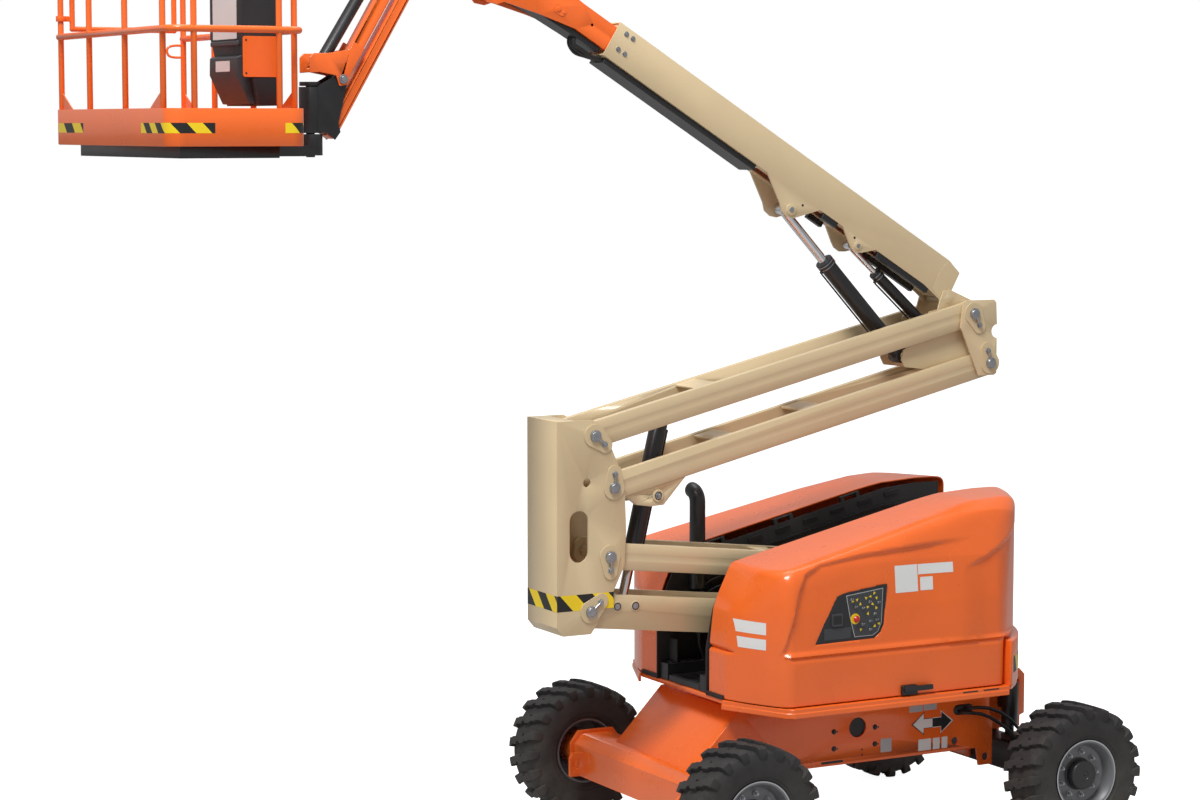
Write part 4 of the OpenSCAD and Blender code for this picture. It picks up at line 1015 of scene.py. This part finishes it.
# Half of a two-way arrow, and the same with a margin
ARROW = ((0.0, 0.027), (0.065, 0.027), (0.065, 0.062), (0.142, 0.0), (0.065, -0.062), (0.065, -0.027),
         (0.0, -0.027))
ARROW_EDGE = ((0.0, 0.03078), (0.065, 0.03078), (0.059, 0.07068), (0.154, 0.0), (0.059, -0.07068),
              (0.065, -0.03078), (0.0, -0.03078))


def make_chassis_marks():
    """Bare plates, a two-way arrow, bolts and slots on both chassis sides."""
    for tag, side in SIDES.items():
        out = Y_AXIS * side
        plates, white, black, bolts = pieces(4)

        def face(x, z):
            return at(x, side * CHASSIS_FACE, z)

        for piece, marks in ((plates, CHASSIS_PLATES), (white, CHASSIS_WHITE)):
            for x0, x1, z0, z1 in marks:
                piece.plate(face((x0 + x1) / 2, (z0 + z1) / 2), x1 - x0, z1 - z0, 0.004, out, FILM)
        for way, arrow, edge in ((-1, white, black), (1, black, white)):
            for piece, outline, thick in ((arrow, ARROW, FILM * 1.4), (edge, ARROW_EDGE, FILM)):
                piece.slab([face(0.512 + way * x, 0.675 + z) for x, z in outline], out, thick)
        for x in (HOLE_X - 0.169, HOLE_X + 0.124):
            for z in (0.69, 0.587):
                bolt(bolts, face(x, z), out, 0.011)
                black.stud(face(x + 0.024, z - 0.002), out, 0, FILM, 0.005, sides=16)
        for z in (0.562, 0.53):
            black.stud(face(HOLE_X + 0.032, z), out, 0, FILM, 0.006, sides=16)
        black.stud(face(HOLE_X, 0.70), out, -0.02, -0.0135, 0.064, sides=32)
        black.plate(face(-0.21, 0.507), 0.155, 0.014, 0.0065, out, FILM)
        plates.place("chassis_plates_" + tag, "chassis", GREY_FILM)
        white.place("chassis_white_" + tag, "chassis", WHITE)
        black.place("chassis_black_" + tag, "chassis", STRIPE)
        bolts.place("chassis_bolts_" + tag, "chassis", BLACK, 0.001)


# Boom, tower and cylinders: pins, bolts, lines

# Outline of the foot plate along and over the boom
BOOM_FOOT = ((-0.03, 0.0), (0.0, 0.055), (0.006, 0.176), (0.10, 0.2), (0.118, 0.196), (0.132, 0.16),
             (0.137, 0.11), (0.135, 0.05), (0.128, -0.004), (0.06, -0.024), (0.03, -0.047), (-0.008, -0.047))
GUSSET_RING = ((0.0245, 0.0), (0.037, 0.0), (0.037, 0.006), (0.034, 0.008), (0.0245, 0.008))


def make_boom_shade_and_cap():
    """Black sheets under the boom and the fly as painted shade on their undersides, and the cap on the boom's
    foot.
    """
    shade_sheet, cap, fly = pieces(3)
    # Black strips and a sheet under the boom: painted shade on its underside
    rail = ((0.062, -0.044), (0.098, -0.044), (0.098, -0.0105), (0.062, -0.0105))
    for side in (NEAR, FAR):
        for span in ((0.15, 0.59), (0.93, 1.05)):
            shade_sheet.loft([[boom(u, side * y, v) for y, v in rail] for u in span])
    section = ((0.085, -0.044), (0.085, -0.0105), (-0.085, -0.0105), (-0.085, -0.044))
    shade_sheet.loft([[boom(u, y, v) for y, v in section] for u in (1.60, 2.79)])
    shade_sheet.place("boom_painted_shade", "boom_base", BLACK, 0.003)
    corners = ((0.0, -0.09, 0.07), (0.003, -0.09, 0.168), (0.003, 0.09, 0.168), (0.0, 0.09, 0.07))
    cap.slab([boom(*c) for c in corners], -BOOM_ALONG, 0.004)
    cap.place("boom_end_cap", "boom_base", BLACK, 0.001)
    # Black sheet under the fly: painted shade on its underside
    stations = ((2.84, -0.006, 0.0225), (3.05, -0.012, 0.0225), (3.28, -0.024, 0.02), (3.46, -0.05, -0.01))
    fly.loft([[boom(u, y, v) for y, v in ((0.068, low), (0.068, high), (-0.068, high), (-0.068, low))]
              for u, low, high in stations])
    fly.place("fly_painted_shade", "boom_fly", BLACK, 0.003)


def make_boom_sides():
    """Bolts, holes and foot plates on the sides of the boom, and the fly's pin plates."""
    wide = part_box("boom_base")[1].y - 0.008
    fly_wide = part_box("boom_fly")[1].y - 0.008
    bolts, holes, foot, heads = pieces(4)
    for side in (NEAR, FAR):
        out = Y_AXIS * side
        for u in (2.752, 2.703):
            for v in (0.17, 0.067):
                bolt(bolts, boom(u, side * wide, v), out, 0.0105, 0.008)
        for u, v, r, lift in ((1.265, -0.113, 0.019, 0.008), (0.742, -0.055, 0.015, 0.006)):
            bolts.stud(boom(u, side * wide, v), out, lift, lift + 0.004, r, r * 0.85, 6)
        for u, v in ((1.208, -0.05), (0.787, -0.026), (0.104, 0.08)):
            holes.stud(boom(u, side * wide, v), out, 0, FILM, 0.0075, sides=18)
        foot.slab([boom(u, side * wide, v) for u, v in BOOM_FOOT], out, 0.002)
        pin = boom(3.193, side * fly_wide, 0.06)
        outline = rounded_rect(pin - BOOM_ALONG * 0.012, BOOM_ALONG, BOOM_UP, 0.085, 0.05, 0.024)
        heads.slab(outline, out, 0.003)
        bolt(heads, pin + out * 0.003 - BOOM_ALONG * 0.04, out, 0.005)
    bolts.place("boom_bolts", "boom_base", STEEL, 0.001)
    holes.place("boom_holes", "boom_base", STRIPE)
    foot.place("boom_foot_plates", "boom_base", TAN, 0.0008)
    heads.place("fly_pin_plates", "boom_fly", ORANGE, 0.001)


def make_boom_hoses():
    """Loop of hoses under the boom's nose."""
    loop = Piece()
    for y in (-0.05, -0.02, 0.012):
        route = ((2.70, -0.03), (2.80, -0.03), (2.86, -0.045), (2.93, -0.06 - y * 0.3), (2.985, -0.045),
                 (3.005, -0.01), (2.99, 0.014))
        loop.tube(spline([boom(u, y, v) for u, v in route], 8), 0.011)
    loop.place("boom_hose_loop", "boom_base", HOSE, sharp=60)


def make_arm_pins():
    """Flush pin ends low on the tower and the pins of the gusset, jib and platform."""
    low_pin, gusset = pin_of("lower_upright_level"), pin_of("tower_barrel")
    ends, rings, boss, steel = pieces(4)
    for side in (NEAR, FAR):
        out = Y_AXIS * side
        for dx, dz in ((0.187, 0.012), (0.307, 0.007)):
            spot = on_side(low_pin + Vector((dx, 0, dz)), side, 0.169)
            rings.stud(spot, out, 0, 0.0003, 0.024, sides=32)
            ends.stud(spot, out, 0, 0.0006, 0.0175, sides=28)
        spot = on_side(gusset, side, 0.162)
        boss.lathe([(r, side * y) for r, y in GUSSET_RING], spot, 40)
        bolt(steel, spot + out * 0.0045, out, 0.013, 0.015)
    ends.place("arm_pin_ends", "lower_arm_lower", STEEL)
    rings.place("arm_pin_rings", "lower_arm_lower", STRIPE)
    boss.place("gusset_rings", "upper_arm_lower", TAN, 0.001)
    steel.place("gusset_bolts", "tower_barrel", STEEL, 0.001)
    for body, joint, face, r in (("platform_knuckle", "platform_level", 0.080, 0.017),
                                 ("jib_base", "jib_lift", 0.072, 0.016),
                                 ("jib_base", "jib_lower_bar", 0.072, 0.016)):
        heads = Piece()
        for side in (NEAR, FAR):
            bolt(heads, on_side(pin_of(joint), side, face), Y_AXIS * side, r, 0.012)
        heads.place("pin_heads_" + joint, body, STEEL, 0.001)


# Barrel of each cylinder: its rod, radius, first and last port, and tip
CYLINDERS = {"lift_barrel": ("lift_rod", 0.05, 0.10, 0.77, 0.81),
             "master_barrel": ("master_rod", 0.034, 0.07, 0.40, 0.44),
             "level_barrel": ("level_rod", 0.03, 0.06, 0.27, 0.31),
             "tower_barrel": ("tower_rod", 0.052, -0.38, 0.38, 0.43)}


def make_cylinder_lines():
    """Ports, a hard line and end rings on each barrel."""
    for body, (rod, r, start, end, tip) in CYLINDERS.items():
        foot = pin_of(body)
        along = Vector(joints[rod]["axis"]).normalized()
        down = Vector((along.z, 0, -along.x))
        if down.z > 0:
            down = -down
        piece, rings = Piece(), Piece()
        for s in (start, end):
            piece.stud(foot + along * s, down, r - 0.004, r + 0.016, 0.011, sides=6)
        line = ((start, 0.010), (start + 0.012, 0.014), (start + 0.04, 0.014), (end - 0.04, 0.014),
                (end - 0.012, 0.014), (end, 0.010))
        piece.tube([foot + along * s + down * (r + lift) for s, lift in line], 0.0055, 10)
        piece.place(body + "_line", body, BLACK, 0.0008, sharp=50)
        for back in (0.012, 0.034):
            rings.stud(foot, along, tip - back - 0.002, tip - back + 0.002, r + 0.0068, sides=40)
        rings.place(body + "_rings", body, STEEL)


# Platform


def make_platform_fittings():
    """Post gussets, the deck's raised tread and a ring for a lanyard."""
    low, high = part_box("platform_floor")
    outer_post, inner_post = low.x + 0.024, high.x - 0.024
    gussets, tread, ring = pieces(3)
    for x in (outer_post, inner_post):
        for y, way in ((high.y - 0.08, -1), (low.y + 0.13, 1)):
            a, b = y + way * 0.014, y + way * 0.184
            outline = ((a, -0.004), (b, -0.004), (b, 0.004), (a, 0.092))
            gussets.slab([Vector((x - 0.003, py, high.z + pz)) for py, pz in outline], X_AXIS, 0.006)
    gussets.place("post_gussets", "platform", ORANGE, 0.001)
    for i in range(13):
        for k in range(34):
            spot = (low.x + 0.05 + 0.055 * i, low.y + 0.06 + 0.0518 * k, low.z + 0.036)
            turn = Matrix.Rotation(math.radians(45 if (i + k) % 2 else -45), 4, "Z")
            tread.box((-0.016, -0.0035, -0.002), (0.016, 0.0035, 0.0022), Matrix.Translation(spot) @ turn)
    tread.place("deck_tread", "platform", STEEL)
    loop = ((-0.012, 0.03), (-0.05, 0.03), (-0.085, 0.022), (-0.098, 0), (-0.085, -0.028), (-0.05, -0.036),
            (-0.012, -0.036))
    ring.tube(spline([(inner_post + dx, high.y - 0.08, high.z + 0.33 + dz) for dx, dz in loop], 6), 0.007)
    ring.place("lanyard_ring", "platform", ORANGE, sharp=60)


def make_console_fittings():
    """Screwed side panel, document box with bare plates and the controls on top."""
    low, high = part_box("platform_console")
    mid_x = (low.x + high.x) / 2
    out = -Y_AXIS
    panel, screws, box, paper, controls, stop = pieces(6)
    middle = Vector((mid_x - 0.004, low.y, low.z + 0.252))
    panel.plate(middle, 0.205, 0.21, 0.012, out, 0.004)
    for sx in (-1, 1):
        for sz in (-1, 1):
            spot = middle + Vector((sx, 0, sz)) * 0.085
            screws.stud(spot, out, 0.004, 0.0065, 0.0055, 0.004, 16)
    panel.place("console_panel", "platform", ORANGE, 0.001)
    screws.place("console_screws", "platform", STRIPE)
    y0, y1 = low.y + 0.06, high.y - 0.02
    outline = ((0.02, 0.262), (-0.012, 0.25), (-0.014, 0.16), (0.058, 0.008), (0.10, 0.008))
    box.prism([(low.x + dx, low.z + dz) for dx, dz in outline], y0, y1)
    box.box((low.x - 0.008, y0, low.z + 0.31), (low.x + 0.02, y1, low.z + 0.335))
    box.place("document_box", "platform", GREY, 0.006)
    for dx, dz, wide, tall, r in ((0, 0.47, 0.34, 0.25, 0.006), (-0.0132, 0.205, 0.2, 0.055, 0.004)):
        centre = Vector((low.x + dx, (y0 + y1) / 2, low.z + dz))
        paper.plate(centre, wide, tall, r, -X_AXIS, FILM, Y_AXIS)
    paper.place("console_plates", "platform", WHITE)
    for y in (-0.55, -0.41, -0.27):
        controls.stud(Vector((mid_x + 0.01, y, high.z - 0.02)), Z_AXIS, -0.03, 0.01, 0.026, 0.012, 28)
    row_x = high.x - 0.03
    for k in range(6):
        controls.stud(Vector((row_x, -0.60 + 0.07 * k, high.z)), Z_AXIS, -0.002, 0.006, 0.009, sides=6)
    controls.place("console_controls", "platform", PLASTIC, 0.001)
    stop.stud(Vector((row_x, -0.21, high.z)), Z_AXIS, -0.002, 0.007, 0.013)
    stop.place("console_stop", "platform", RED, 0.001)


make_camera()
dress_frame()
make_wheels()
make_hood("hood_near", NEAR)
make_hood("hood_far", FAR)
make_hood_fittings()
make_control_panel()
make_turntable_lip()
make_bay_deck()
make_bay_hoses()
make_bay_rails()
make_tail_stripes()
make_chassis_marks()
make_boom_shade_and_cap()
make_boom_sides()
make_boom_hoses()
make_arm_pins()
make_cylinder_lines()
make_platform_fittings()
make_console_fittings()
make_tower_pins()
make_platform_stripes()
make_upright_stripes()
make_stage()
